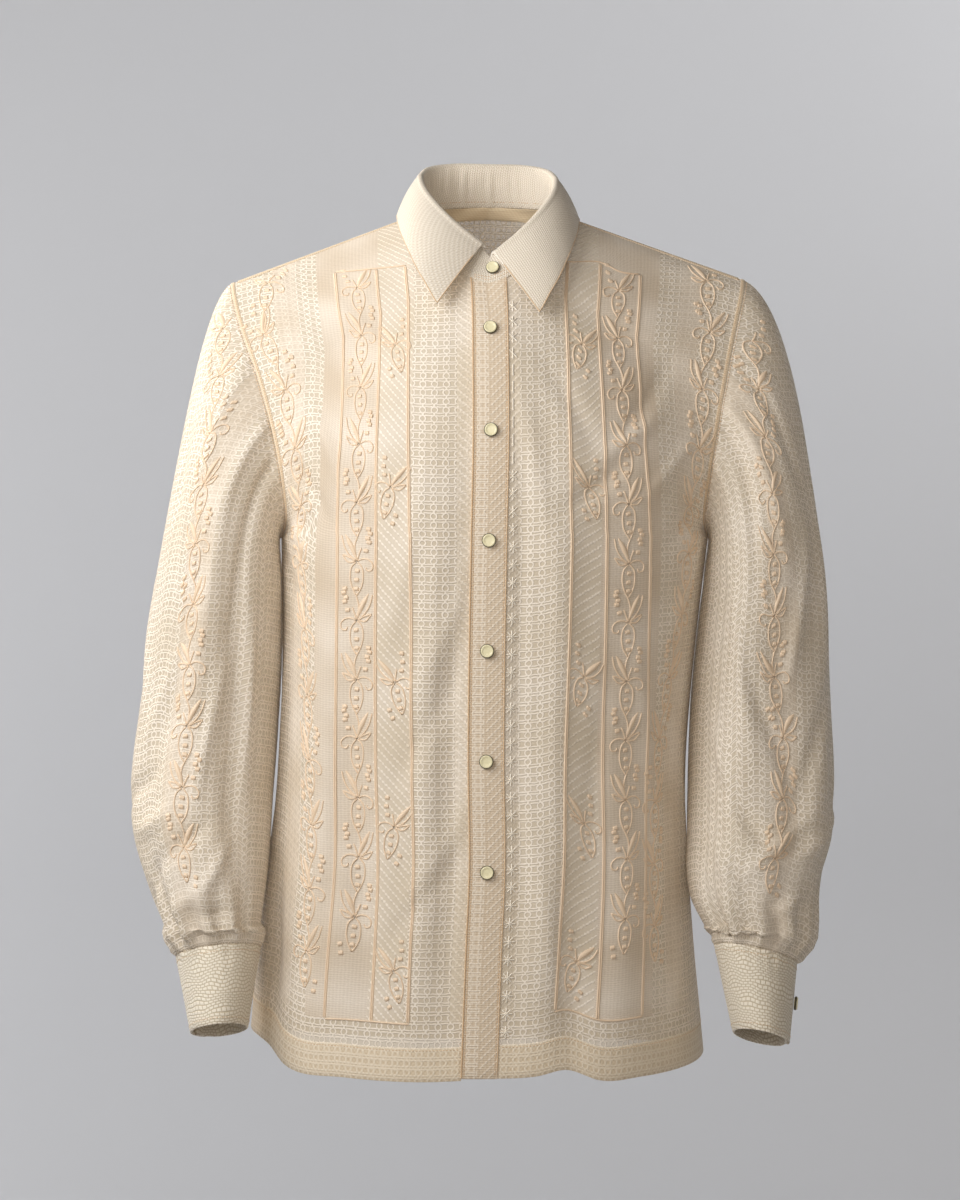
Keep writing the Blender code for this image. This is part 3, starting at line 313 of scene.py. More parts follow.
def armhole_line(side, face):
    """The armhole seam from the underarm to the shoulder's tip, evenly spaced."""
    points = np.stack(list((ARMHOLE_FRONT if face < 0 else ARMHOLE_BACK).values()), axis=1)
    along = lengths(points)
    line = even_out(smooth(np.linspace(0, along[-1], 120), along, points), ROWS_ABOVE)
    line[:, 0] = side * line[:, 0] + smooth(line[:, 2], ARMHOLE_SHIFT["height"], ARMHOLE_SHIFT["shift"])
    share = np.clip((line[:, 2] - SHOULDER_LIFT_FROM) / (line[-1, 2] - SHOULDER_LIFT_FROM), 0, 1)
    line[:, 2] += SHOULDER[side]["lift"] * share**2
    return line


def inner_line(side, face):
    """Where the rows above the underarm start: up the middle of the shirt, then along the neckline."""
    neck_rows, first_angle = (NECK_ROWS_FRONT, BAND_ANGLE) if face < 0 else (NECK_ROWS_BACK, pi)
    heights = np.linspace(UNDERARM, neck_point(first_angle)[2], ROWS_ABOVE - neck_rows + 1)[:-1]
    angles = np.linspace(first_angle, SHOULDER_ANGLE, neck_rows + 1)
    middle = [row_start(side, face, height) for height in heights]
    return np.array(middle + [neck_point(angle) * (side, 1, 1) for angle in angles])


# %% [markdown]
# ## Rows across a panel
# Each row of a panel starts at the middle of the shirt and ends at the side seam or the armhole. Below
# the arm it turns a corner of a soft oval; towards the shoulder it straightens, because there the cloth
# hangs from the shoulder seam. A Bezier curve does both, with the pull of its two handles as the only
# thing that changes from row to row.

# %% Rows


def row_points(start, end, start_way, end_way, start_pull, end_pull):
    """A row of a panel as a fine curve that leaves start along start_way and reaches end along end_way."""
    s = np.linspace(0, 1, 160)[:, None]
    first = start + start_way * start_pull
    second = end - end_way * end_pull
    return (1 - s) ** 3 * start + 3 * (1 - s) ** 2 * s * first + 3 * (1 - s) * s**2 * second + s**3 * end


def below_row(side, face, height):
    """A row between hem and underarm."""
    start = np.array(row_start(side, face, height))
    end = np.array((body_centre(height) + side * read(BODY, "half_width", height), 0.0, height))
    pulls = ROUNDNESS * np.abs((end[0] - start[0], start[1]))
    return row_points(start, end, np.array((side, 0, 0)), np.array((0, -face, 0)), *pulls)


def above_row(side, face, start, end, level):
    """A row between underarm and shoulder. level is 0 at the underarm and 1 at the shoulder seam."""
    chord = end - start
    length = np.linalg.norm(chord)
    straight = level**1.5
    turned = min(1.0, level * 1.9) ** 0.8
    start_way = unit(np.array((side, 0.0, 0.0)) * (1 - straight) + unit(chord) * straight)
    end_way = unit(np.array((0.0, -face, 0.0)) * (1 - turned) + unit(chord) * turned)
    roundness = ROUNDNESS * (1 - turned) + SHOULDER_ROUNDNESS * turned
    start_pull = (1 - straight) * roundness * abs(chord[0]) + straight * length / 3
    end_pull = (1 - turned) * roundness * abs(start[1]) + turned * length / 3
    return row_points(start, end, start_way, end_way, start_pull, end_pull)


# %% [markdown]
# ## Folds, and the creases between them
# Net is light and springy. It hangs from the shoulders and the collar in long soft folds, and it
# breaks into short creases where something holds it: at the armhole, at the elbow and above the cuff.
# A cloth simulation could find such folds, but not these ones. Each is listed as a ridge or a
# trough: where it lies, how wide and deep it is, and how far it runs.

# %% Folds and creases
FOLD_COLUMNS = "side place width depth low high lean"
FRONT_FOLDS = table(FOLD_COLUMNS, """
-1 .034 .014 -.0035 -.8 -.25 0
-1 .06 .017 .004 -.8 -.15 -.03
-1 .092 .015 -.005 -.8 -.35 .1
-1 .15 .024 .0045 -.8 -.18 0
-1 .205 .013 -.011 -.82 -.52 .05
1 .026 .01 -.003 -.8 -.12 0
1 .052 .016 .005 -.8 -.1 .03
1 .088 .016 -.01 -.84 -.58 -.05
1 .128 .02 .005 -.82 -.45 0
1 .175 .017 -.0045 -.8 -.3 .05
""")
BACK_FOLDS = table(FOLD_COLUMNS, """
-1 .045 .018 -.0055 -.84 -.3 .05
-1 .095 .022 .006 -.82 -.35 0
-1 .15 .018 -.007 -.84 -.45 -.06
1 .02 .018 .005 -.82 -.4 .05
1 .075 .02 -.0065 -.84 -.35 -.03
1 .13 .022 .006 -.8 -.25 .04
1 .18 .016 -.005 -.82 -.5 0
""")
# The hem's rise above its lowest level, by the distance from the middle of the front.
HEM_RISE = {
    -1: table("distance rise", """
0 0  .05 -.002  .12 0  .185 .006  .215 .023  .26 .03  .3 .032
"""),
    1: table("distance rise", """
0 .001  .05 .003  .078 .008  .108 -.002  .15 -.001  .22 .004  .3 .012
"""),
}
# Creases. place: from the middle of the front or back, along the cloth. height: of their middle.
# length: half of it. lean: away from upright, in degrees, to the wearer's left at the top. bend: bow.
CREASE_COLUMNS = "side place height length lean width depth bend"
FRONT_CREASES = table(CREASE_COLUMNS, """
-1 .03 -.36 .12 24 .009 .0026 .8
-1 .048 -.45 .11 30 .008 -.0024 .6
-1 .034 -.56 .09 36 .008 .0026 0
-1 .058 -.61 .08 40 .007 -.0022 -.6
-1 .07 -.3 .14 12 .01 .0022 .4
-1 .115 -.23 .1 -14 .01 -.0026 .5
-1 .16 -.2 .08 -32 .0085 .003 1
-1 .175 -.245 .06 -42 .007 -.003 1.2
-1 .19 -.29 .06 -50 .007 .0028 1
-1 .205 -.33 .07 -38 .0075 -.0026 .6
-1 .24 -.48 .11 6 .009 .003 -.4
-1 .14 -.56 .12 5 .011 -.0028 .3
-1 .12 -.1 .06 -48 .009 .0016 .6
1 .045 -.24 .13 -10 .01 .0026 .5
1 .075 -.17 .08 -30 .009 -.0022 1
1 .105 -.24 .07 52 .0085 -.0032 1.4
1 .135 -.2 .06 60 .008 .0028 1
1 .15 -.17 .07 42 .0085 -.0026 .8
1 .175 -.23 .06 48 .007 .003 1
1 .19 -.28 .06 52 .007 -.003 .8
1 .2 -.34 .08 30 .008 .0028 .4
1 .15 -.45 .12 -8 .01 .003 .3
1 .1 -.5 .13 6 .01 -.0026 -.3
1 .05 -.6 .11 -10 .0085 .0024 .4
1 .225 -.56 .12 -6 .009 .003 .2
""")
BACK_CREASES = table(CREASE_COLUMNS, """
-1 .06 -.12 .08 -28 .011 .0024 .6
-1 .15 -.23 .09 -38 .009 .003 1
-1 .185 -.29 .07 -46 .008 -.003 .8
-1 .11 -.42 .13 -8 .011 -.003 .4
-1 .2 -.52 .12 6 .009 .003 -.3
1 .055 -.14 .09 24 .011 -.0024 .6
1 .145 -.22 .08 40 .009 .003 1
1 .18 -.3 .08 44 .008 -.003 .9
1 .05 -.46 .14 9 .011 .0028 .3
1 .165 -.56 .12 -7 .01 -.003 .2
""")


def fold_lift(folds, side, place, height, margin, pivot):
    """How far the folds lift the cloth at places across it. A fold leans about the share pivot of its height."""
    lift = 0.0
    for fold in rows_of(folds, side):
        low, high = fold["low"], fold["high"]
        middle = fold["place"] + fold["lean"] * (height - low - (high - low) * pivot)
        shape = np.exp(-(((place - middle) / fold["width"]) ** 2))
        lift = lift + fold["depth"] * shape * fade(height, low, high, margin)
    return lift


def crease_lift(creases, side, right_of, height):
    """How far the creases lift the cloth. right_of: how far each point lies to the right of a crease's place."""
    lift = 0.0
    for crease in rows_of(creases, side):
        lean = radians(crease["lean"])
        right, up = right_of(crease["place"]), height - crease["height"]
        along = right * sin(lean) + up * cos(lean)
        beside = right * cos(lean) - up * sin(lean) + crease["bend"] * along**2
        reach = np.clip(1 - (along / crease["length"]) ** 2, 0, 1)
        lift = lift + crease["depth"] * reach**2 * np.exp(-((beside / crease["width"]) ** 2))
    return lift


# %% The four quarters of the body


def grid_normals(grid, outward, closed=False):
    """The direction away from the body at each point of a grid."""
    if closed:
        along = np.roll(grid, -1, axis=1) - np.roll(grid, 1, axis=1)
    else:
        along = np.gradient(grid, axis=1)
    up = np.gradient(grid, axis=0)
    normals = unit(np.cross(along, up))
    return normals * np.sign(np.sum(normals * outward, axis=-1, keepdims=True).mean())


def body_row(side, face, row):
    """One row of a quarter of the body as evenly spaced points, with its folds and its part of the hem's rise."""
    start = BAND_HALF if face < 0 else 0.0
    if row <= ROWS_BELOW:
        line = below_row(side, face, HEM + (UNDERARM - HEM) * row / ROWS_BELOW)
    else:
        k = row - ROWS_BELOW
        line = above_row(side, face, inner_line(side, face)[k], armhole_line(side, face)[k], k / ROWS_ABOVE)
        start = abs(line[0, 0])
    points = even_out(line, PANEL_COLUMNS)
    distance = start + lengths(points)
    lift = fold_lift(FRONT_FOLDS if face < 0 else BACK_FOLDS, side, distance, points[:, 2], 0.22, 0.0)
    lift *= np.clip((distance[-1] - distance) / SIDE_FADE, 0, 1)
    lift *= np.clip((distance - distance[0]) / MIDDLE_FADE, 0, 1)
    away = unit(np.cross(np.gradient(points, axis=0), (0, 0, side * -face))) * (1, 1, 0)
    points += unit(away) * lift[:, None]
    if row < ROWS_BELOW:
        share = (1 - row / ROWS_BELOW) ** 3
        places, rise = HEM_RISE[side].values()
        at_side = smooth(0.30, places, rise) * (distance / distance[-1]) ** 2
        points[:, 2] += share * (smooth(distance, places, rise) if face < 0 else at_side)
    return points


def quarter(side, face):
    """The outer face of a quarter of the body, and how far along the cloth each point lies from the middle."""
    points = np.array([body_row(side, face, row) for row in range(TOP + 1)])
    across = lengths(points, 1)
    if face < 0:
        start = np.abs(points[:, :1, 0])
        start[: ROWS_BELOW + 1] = BAND_HALF
        across += start
    creases = FRONT_CREASES if face < 0 else BACK_CREASES
    lift = crease_lift(creases, side, lambda place: side * (across - place), points[..., 2])
    lift *= np.clip((across[:, -1:] - across) / 0.03, 0, 1)
    lift *= np.clip((across - across[:, :1]) / MIDDLE_FADE, 0, 1)
    lift *= np.clip((TOP - np.arange(TOP + 1)) / 14, 0, 1)[:, None]
    out = grid_normals(points, np.array((0.25 * side, face, 0.1)))
    return points + out * lift[..., None], across


DIP_END = 0.055  # how far from the middle the right front dips below the band
body = {}
for side in (-1, 1):
    for face in (-1, 1):
        points, across = quarter(side, face)
        if (side, face) == (-1, -1):
            # The right front's edge dips below the band that laps over it.
            out = grid_normals(points, np.array((0, -1, 0.1)))
            share = soft((DIP_END - np.abs(points[..., 0])) / (DIP_END - BAND_HALF))
            points = points - out * UNDER_DROP * share[..., None]
        out = grid_normals(points, np.array((0.25 * side, face, 0.1)))
        up = lengths(points[..., 1:])  # from the hem, without the drift sideways
        body[side, face] = {"points": points, "out": out, "across": across, "up": up}
widths = [body[side, face]["across"][0, -1] for side in (-1, 1) for face in (-1, 1)]
print(f"the hem is {sum(widths) * 100:.0f} cm round")

# %% [markdown]
# ## Sleeves
# A full sleeve is a tube that starts on the slanting armhole seam, hangs free to below the elbow, swells,
# and is gathered into a cuff half as wide. It is made as rings: the first one is the armhole seam
# itself, the last one is the cuff's top edge, and level rings from a table lie between them.

# %% The sleeves' sizes
# Outermost and innermost reach of each sleeve below the underarm, and the depth of its middle.
SLEEVE_COLUMNS = "height outer inner middle half_depth"
SLEEVE = {
    -1: table(SLEEVE_COLUMNS, """
-.332 .306 .185 -.01 .076
-.372 .311 .186 -.007 .079
-.412 .3155 .188 -.006 .081
-.45 .3205 .191 -.008 .082
-.488 .325 .1935 -.014 .0825
-.526 .3265 .196 -.023 .082
-.562 .3215 .1975 -.035 .08
-.592 .3115 .1995 -.046 .076
-.616 .301 .202 -.056 .069
-.636 .2905 .2045 -.064 .06
"""),
    1: table(SLEEVE_COLUMNS, """
-.332 .3085 .195 -.01 .076
-.372 .312 .19 -.007 .079
-.412 .3135 .186 -.006 .081
-.45 .315 .1835 -.008 .082
-.488 .3165 .182 -.014 .0825
-.526 .316 .181 -.023 .082
-.562 .312 .18 -.035 .08
-.592 .302 .179 -.046 .076
-.616 .2955 .183 -.056 .069
-.638 .2925 .194 -.064 .06
"""),
}
# Each cuff: the middle of its top and bottom rims, the angle its outer side hangs lower by, and how many steps its
# lap is turned from the outer side towards the back.
CUFF = {
    -1: {"top": (-0.2422, -0.073, -0.6615), "foot": (-0.24, -0.092, -0.728), "roll": radians(7), "turned": 6},
    1: {"top": (0.24, -0.073, -0.664), "foot": (0.2432, -0.092, -0.7345), "roll": radians(13), "turned": 0},
}
CUFF_TOP_HALF = (0.0380, 0.0440)  # half its width and half its depth at the top
CUFF_FOOT_HALF = (0.0260, 0.0470)  # and at the foot
CUFF_PITCH = radians(14)  # the angle by which its front lies higher
# The sleeves' folds. place: round the arm in degrees, 0 at the outer side, 90 at the front, 180 inside.
SLEEVE_FOLDS = table(FOLD_COLUMNS, """
-1 45 14 -.0045 -.66 -.36 120
-1 80 13 .005 -.62 -.2 60
-1 118 12 -.006 -.64 -.3 -60
-1 262 16 -.006 -.66 -.32 -90
-1 310 16 .005 -.62 -.3 80
1 38 13 .0045 -.62 -.26 -80
1 72 13 -.0055 -.66 -.34 70
1 110 13 .005 -.62 -.22 -50
1 250 16 .0055 -.64 -.32 80
1 300 16 -.006 -.66 -.36 -90
""")
# Their creases. lean: of the top end, towards the front.
SLEEVE_CREASES = table(CREASE_COLUMNS, """
-1 62 -.17 .12 -6 .008 .0034 .5
-1 96 -.2 .15 5 .0075 .0042 .2
-1 116 -.26 .16 4 .0065 -.0046 .2
-1 40 -.25 .12 -12 .008 -.003 .4
-1 78 -.33 .11 14 .0075 -.0034 0
-1 55 -.42 .09 22 .008 .0036 .6
-1 96 -.47 .1 8 .0075 .004 -.4
-1 128 -.43 .14 -4 .007 .004 .2
-1 28 -.515 .06 64 .008 -.0042 1.5
-1 50 -.545 .055 72 .0075 .0044 2
-1 80 -.56 .05 58 .007 -.0046 -1
-1 105 -.585 .05 40 .0065 .0042 1
-1 40 -.59 .05 48 .0065 -.004 -1.5
-1 72 -.612 .045 66 .0055 .004 2
-1 100 -.622 .04 82 .0045 -.0046 0
-1 20 -.4 .09 -16 .0085 .0032 .5
-1 215 -.23 .08 30 .009 .0034 .6
-1 255 -.3 .12 -8 .009 -.0038 .4
-1 300 -.45 .1 26 .0085 .004 .8
-1 335 -.56 .06 60 .0075 -.0042 1.2
-1 280 -.59 .05 50 .007 .0042 -1
1 118 -.19 .15 -4 .007 .0044 .2
1 100 -.24 .17 -3 .0065 -.0044 .2
1 82 -.21 .14 5 .008 .0034 .3
1 52 -.18 .11 9 .009 -.003 .3
1 30 -.3 .13 -8 .009 .0034 .4
1 62 -.36 .12 -14 .008 .0036 .4
1 112 -.4 .12 12 .007 .0038 -.5
1 92 -.45 .09 26 .0075 -.0036 .5
1 48 -.47 .09 -22 .008 -.0036 .6
1 124 -.5 .08 18 .0065 .004 .8
1 105 -.54 .07 42 .0065 -.0044 1
1 78 -.56 .06 -52 .007 .004 1.5
1 118 -.59 .055 34 .006 .0042 1
1 40 -.56 .06 -62 .0075 .004 -1.5
1 92 -.606 .045 56 .0055 -.0042 1.5
1 56 -.612 .045 -70 .0055 .0038 1.5
1 14 -.52 .07 30 .008 -.0036 .8
1 225 -.24 .08 -26 .009 .0036 .6
1 268 -.32 .12 8 .009 -.0038 .4
1 310 -.47 .1 -24 .0085 .004 .8
1 340 -.57 .06 -56 .0075 -.0042 1.2
""")
SLEEVE_POINTS = 2 * ROWS_ABOVE  # round the sleeve
RING_ANGLES = np.linspace(0, 2 * pi, SLEEVE_POINTS, endpoint=False)
CAP_RINGS = 44  # from the armhole to the level of the underarm
RING_STEP = 0.0050  # between level rings
GATHERS = 12  # round the sleeve, above the cuff
GATHER_DEPTH = 0.0038
FINE_GATHERS = 31  # the smaller puckers of the gathering thread
FINE_GATHER_DEPTH = 0.0010
SLEEVE_WIDTH = 0.470  # of the flat sleeve, before it is gathered

# %% Rings of a sleeve
REACH_HEIGHTS = np.linspace(-0.70, UNDERARM, 104)
REACH_DEPTHS = np.linspace(-0.16, 0.16, 161)


def side_reach(side):
    """How far the body's side reaches, for a table of heights and depths."""
    reach = np.zeros((len(REACH_HEIGHTS), len(REACH_DEPTHS)))
    for row, height in zip(reach, REACH_HEIGHTS):
        for face in (-1, 1):
            line = below_row(side, face, height)
            line = line[np.argsort(line[:, 1])]
            np.maximum(row, np.interp(REACH_DEPTHS, line[:, 1], side * line[:, 0], left=0.0, right=0.0), out=row)
    return reach


SIDE_REACH = {side: side_reach(side) for side in (-1, 1)}


def keep_clear(ring, side):
    """Moves the points of a sleeve that would reach the body's side out of it."""
    x, y, z = ring.T
    places = []
    for place, stations in ((z, REACH_HEIGHTS), (y, REACH_DEPTHS)):
        step = np.clip((place - stations[0]) / (stations[1] - stations[0]), 0, len(stations) - 1.001)
        places += [step.astype(int), step - step.astype(int)]
    i, s, j, t = places
    reach = SIDE_REACH[side]
    near = reach[i, j] * (1 - t) + reach[i, j + 1] * t
    far = reach[i + 1, j] * (1 - t) + reach[i + 1, j + 1] * t
    nearest = near * (1 - s) + far * s + BODY_CLEARANCE * np.clip((UNDERARM - z) / 0.03 + 0.25, 0, 1)
    clear = np.where(z > UNDERARM, side * x, np.maximum(side * x, nearest))
    return np.stack((side * clear, y, z), axis=1)


def cuff_ways(side):
    """A cuff's ways: out to its side, to its front, and up, square to its rims."""
    roll = CUFF[side]["roll"]
    wide = np.array((side * cos(roll), 0, -sin(roll)))
    deep = np.array((0, -cos(CUFF_PITCH), sin(CUFF_PITCH)))
    up = unit(np.cross(wide, deep))
    return wide, deep, up * np.sign(up[2])


def cuff_ring(side, share, angles, inward=0.0):
    """Points round a cuff, a share of the way from its top rim to its foot, and the directions out of it."""
    middle, half_width, half_depth = (
        np.array(top) * (1 - share) + np.array(foot) * share
        for top, foot in ((CUFF[side]["top"], CUFF[side]["foot"]), *zip(CUFF_TOP_HALF, CUFF_FOOT_HALF))
    )
    wide, deep, _ = cuff_ways(side)
    across, forward = np.cos(angles), np.sin(angles)
    out = unit(np.outer(across * half_depth, wide) + np.outer(forward * half_width, deep))
    ring = middle + np.outer(across * half_width, wide) + np.outer(forward * half_depth, deep)
    return ring - out * np.reshape(inward, (-1, 1)), out


def level_ring(side, height):
    """The level ring of a sleeve at a height, from the outer side over the front."""
    rising = {name: column[::-1] for name, column in SLEEVE[side].items()}
    outer, inner, middle, half_depth = (read(rising, name, height) for name in list(rising)[1:])
    x = (outer + inner) / 2 + (outer - inner) / 2 * np.cos(RING_ANGLES)
    y = middle - half_depth * np.sin(RING_ANGLES)
    return np.stack((side * x, y, np.full_like(x, height)), axis=1)


def sleeve_rings(side, seam):
    """A sleeve's outer face, before its folds: rings from the armhole seam down to the cuff."""
    first_height, last_height = SLEEVE[side]["height"][[0, -1]]
    start, last = (keep_clear(level_ring(side, height), side) for height in (first_height, last_height))
    reach = np.linalg.norm(start - seam, axis=1, keepdims=True)
    across, forward = np.cos(RING_ANGLES), np.sin(RING_ANGLES)
    way = unit(np.stack((side * (0.80 + 0.12 * across), -0.30 * forward, -0.48 + 0.05 * across), axis=1))
    outer = np.clip(across, 0, 1)[:, None] ** 2
    full = 0.20 * (1 - outer) + SHOULDER[side]["full"] * outer
    up = np.array((0, 0, 1.0)) - outer * (side * SHOULDER[side]["lean"], 0, 0)
    first = seam + way * reach * full
    second = start + up * reach * 0.42
    rings = [seam]
    for t in (np.arange(1, CAP_RINGS + 1) / CAP_RINGS) ** 1.1:
        ring = (1 - t) ** 3 * seam + 3 * (1 - t) ** 2 * t * first + 3 * (1 - t) * t**2 * second + t**3 * start
        rings.append(keep_clear(ring, side))
    for height in np.arange(first_height - RING_STEP, last_height, -RING_STEP):
        rings.append(keep_clear(level_ring(side, height), side))
    # The cloth puffs out over the cuff, turns in, and goes down into its top edge.
    top, out = cuff_ring(side, 0.0, RING_ANGLES)
    cuff_up = cuff_ways(side)[2]
    above = top + cuff_up * SEAM_GAP
    puff = above + cuff_up * 0.009 + out * 0.0050
    rings.append(last)
    for t in (0.35, 0.70):
        rings.append(last * (1 - t) + puff * t + out * 0.003 * sin(pi * t))
    for higher, wider in ((0.009, 0.0050), (0.0045, 0.0042), (0.0015, 0.0016), (0, -CLOTH / 2)):
        rings.append(above + cuff_up * higher + out * wider)
    return np.array(rings)


def sleeve_lift(side, rings):
    """The lift of the sleeve's folds, creases and gathers at each point of its rings."""
    height = rings[..., 2]
    angles = np.degrees(RING_ANGLES)[None, :]
    lift = fold_lift(SLEEVE_FOLDS, side, angles, height, 0.10, 0.5)
    arm = SLEEVE_WIDTH / 360  # of cloth for each degree round it
    lift += crease_lift(SLEEVE_CREASES, side, lambda angle: (angles - angle) * arm, height)
    cuff_height = CUFF[side]["top"][2]
    uneven = 1 + 0.35 * np.sin(3 * RING_ANGLES + side) + 0.25 * np.sin(5 * RING_ANGLES + 2 * side)
    gather = np.cos(RING_ANGLES * GATHERS) * uneven * fade(height, cuff_height - 0.03, cuff_height + 0.085, 0.060)
    fine = np.cos(RING_ANGLES * FINE_GATHERS + side) * fade(height, cuff_height - 0.03, cuff_height + 0.04, 0.03)
    facing = fade(angles, 135, 235, 25)  # the side against the body lies smooth
    lift = (lift + GATHER_DEPTH * gather + FINE_GATHER_DEPTH * fine) * (1 - facing)
    ring = np.arange(len(rings))
    return lift * np.clip(np.minimum(ring / 6, (ring[-1] - ring) / 4), 0, 1)[:, None]


sleeves = {}
for side in (-1, 1):
    front, back = (body[side, face]["points"][ROWS_BELOW:, -1] for face in (-1, 1))
    seam = np.concatenate((front[::-1], back[1:-1]))
    rings = sleeve_rings(side, seam)
    out = grid_normals(rings, np.array((side, 0, 0)), closed=True)
    if out[60, 0, 0] * side < 0:
        out = -out
    points = rings + out * sleeve_lift(side, rings)[..., None]
    out = grid_normals(points, out, closed=True)
    up = lengths(points)
    across = np.linspace(0, SLEEVE_WIDTH, SLEEVE_POINTS + 1)
    sleeves[side] = {"points": points, "out": out, "across": across, "up": up[-1:] - up}
    print(SIDE_NAMES[side], "sleeve:", len(points), "rings,", f"{up[-1].mean() * 100:.0f} cm from armhole to cuff")

# %% [markdown]
# ## Collar, band and cuffs
# These parts are firm, because a tailor doubles the cloth and puts a stiffener between the layers. So
# each is a wall with a real thickness: an outer face, an inner face and a rounded rim between them.
# They are worked out from lines too: the collar's fold and edge lie in a table, the cuff is a slightly
# tapered oval, and the band follows the middle of the front.

# %% The firm parts' sizes
BAND_CLOTH = 0.0016  # the thickness of the band and of the button stand
UNDER_INSET = 0.0015  # how much narrower the button stand is
LEAF_START = 0.284  # where the leaf's end lies, as a share of the angle of half the band
COLLAR_SKEW = 0.0040  # how much lower the collar's left side lies at the throat, and higher its right side
FOLD_RADIUS = 0.0023
FOLD_RISE = 0.0010  # from the fold's centre down to the stand's top edge
STAND_END = 0.0155  # how far the stand's ends reach past the middle
UNDER_END_DROP = 0.32  # how much lower its under end is, as a share of its height
STAND_CORNER = 0.0090  # the width of its rounded corner
LAP_CLEARANCE = 0.0002
CUFF_FIRST = radians(-7.5)  # the cuff's outer end, towards the front
CUFF_LAST = radians(390)  # its inner end, one turn and the lap further on
# The collar, from its front end round to the middle of the back: the angle round the neck, the line of the
# fold, and the leaf's lower edge.
COLLAR = table("angle fold_x fold_y fold_z edge_x edge_y edge_z", """
3.7 .0048 -.07 -.0278 .0458 -.101 -.085
12.9 .0135 -.0692 -.021 .05 -.098 -.0775
20.5 .0216 -.0676 -.0145 .0555 -.0935 -.067
33 .0343 -.0627 -.0027 .064 -.084 -.0515
44 .0443 -.0556 .0081 .0715 -.069 -.034
63.7 .0568 -.0381 .0256 .0785 -.045 -.015
88 .0617 -.012 .0408 .0822 -.017 0
110 .0612 .012 .0485 .082 .012 .0095
125.6 .0558 .03 .0559 .0735 .036 .0125
137 .0467 .04 .0596 .06 .054 .014
148.6 .0345 .0465 .0619 .0425 .0655 .015
180 0 .05 .0628 0 .0725 .0155
""")


def collar_line(side, places, name):
    """A line of the collar's table, read at angles round the neck."""
    columns = np.stack([COLLAR[name + axis] for axis in ("_x", "_y", "_z")], axis=1)
    line = smooth(places, COLLAR["angle"], columns)
    line[:, 2] -= side * COLLAR_SKEW * (1 - np.clip(places, 0, 180) / 180)
    line[:, 0] *= side
    return line


def fold_ways(side, places):
    """At angles round the neck, the level direction from the fold out to the leaf's edge."""
    way = collar_line(side, places, "edge") - collar_line(side, places, "fold")
    way[:, 2] = 0
    return unit(way)


def stand_top(side, places):
    """The outer face's top edge of the stand, at angles round the neck, also past the middle of the front."""
    start = COLLAR["angle"][0]
    inside = np.maximum(places, start)
    drop = FIRM_CLOTH / 2 + FOLD_RADIUS + FOLD_RISE
    top = collar_line(side, inside, "fold") - (0, 0, drop)
    top -= fold_ways(side, inside) * (FOLD_RADIUS - FIRM_CLOTH / 2)
    past = np.radians(inside - places) * NECK_HALF_WIDTH
    top[:, 0] -= side * past * 0.95
    top[:, 2] -= past * 0.25
    return top


# %% The collar's stand and leaf


def stand_half(side):
    """Foot, top and places of one half of the stand, from its end past the middle of the front to the back."""
    end = -np.degrees(BAND_ANGLE) * STAND_END / BAND_HALF
    places = np.concatenate((np.linspace(end, 12, 40)[:-1], np.linspace(12, 180, 100)))
    foot = np.array([neck_point(abs(place)) for place in np.radians(places)])
    foot[:, 0] *= side * np.sign(places)
    return foot, stand_top(side, places), places


def stand_shape():
    """The stand's outer face and the directions out of it, from the left end round to the right one."""
    left, right = stand_half(1), stand_half(-1)
    foot, top, places = (np.concatenate((a, b[-2::-1])) for a, b in zip(left, right))
    count = len(left[0])
    share = np.clip((np.abs(foot[:, 0]) - (STAND_END - STAND_CORNER)) / STAND_CORNER, 0, 1)
    rounding = np.where(places < 0, 0.30 + 0.70 * np.sqrt(1 - 0.98 * share**2), 1.0)
    lowered = 1 - UNDER_END_DROP * np.clip((6 - places) / 10, 0, 1)
    rounding[count:] *= lowered[count:]
    top = foot + (top - foot) * rounding[:, None]
    rows = np.linspace(0, 1, 9)[:, None, None]
    stand = foot * (1 - rows) + top * rows
    out = grid_normals(stand, unit(foot - (0, NECK_MIDDLE, 0)) * (1, 1, 0))
    out[-1] = unit(out[-1] * (1, 1, 0))
    reach = np.abs(foot[:, 0])
    near = soft(1 - (reach - STAND_END - 0.004) / 0.03) * (np.abs(places) < 60)
    sunk = FIRM_CLOTH - BAND_PROUD + SEAM_GAP + LAP_CLEARANCE
    level = np.where(np.arange(len(foot)) < count, BAND_PROUD, -sunk) * near
    return stand + out * level[None, :, None], out


def leaf_shape():
    """The middle of the leaf's cloth and the directions out of it, from the stand over the fold to the edge."""
    halves = []
    places = np.linspace(np.degrees(BAND_ANGLE) * LEAF_START, 180, 120)
    up = np.array((0, 0, 1.0))
    for side in (1, -1):
        fold, edge = (collar_line(side, places, name) for name in ("fold", "edge"))
        way = fold_ways(side, places)
        middle = fold - up * (FIRM_CLOTH / 2 + FOLD_RADIUS)
        lines = [middle - way * FOLD_RADIUS - up * (FOLD_RISE - SEAM_GAP)]
        outs = [-way]
        for angle in np.radians((165, 140, 115, 90, 65, 40, 20, 8)):
            outs.append(way * cos(angle) + up * sin(angle))
            lines.append(middle + outs[-1] * FOLD_RADIUS)
        start, fall = lines[-1], edge - lines[-1]
        out = unit(np.cross(unit(np.gradient(edge, axis=0)), fall))
        out *= np.sign(np.sum(out * way, axis=1, keepdims=True))
        for share in np.linspace(0, 1, 15)[1:]:
            lines.append(start + fall * share + out * 0.0072 * share * (1 - share))
            outs.append(unit(out + 0.25 * (1 - share) * outs[8]))
        halves.append((np.array(lines), np.array(outs)))
    return (np.concatenate((left, right[:, -2::-1]), axis=1) for left, right in zip(*halves))


stand, stand_out = stand_shape()
leaf, leaf_out = leaf_shape()
print(f"the collar's fold is {lengths(leaf[4])[-1] * 1000:.0f} mm long")

# %% The band down the front


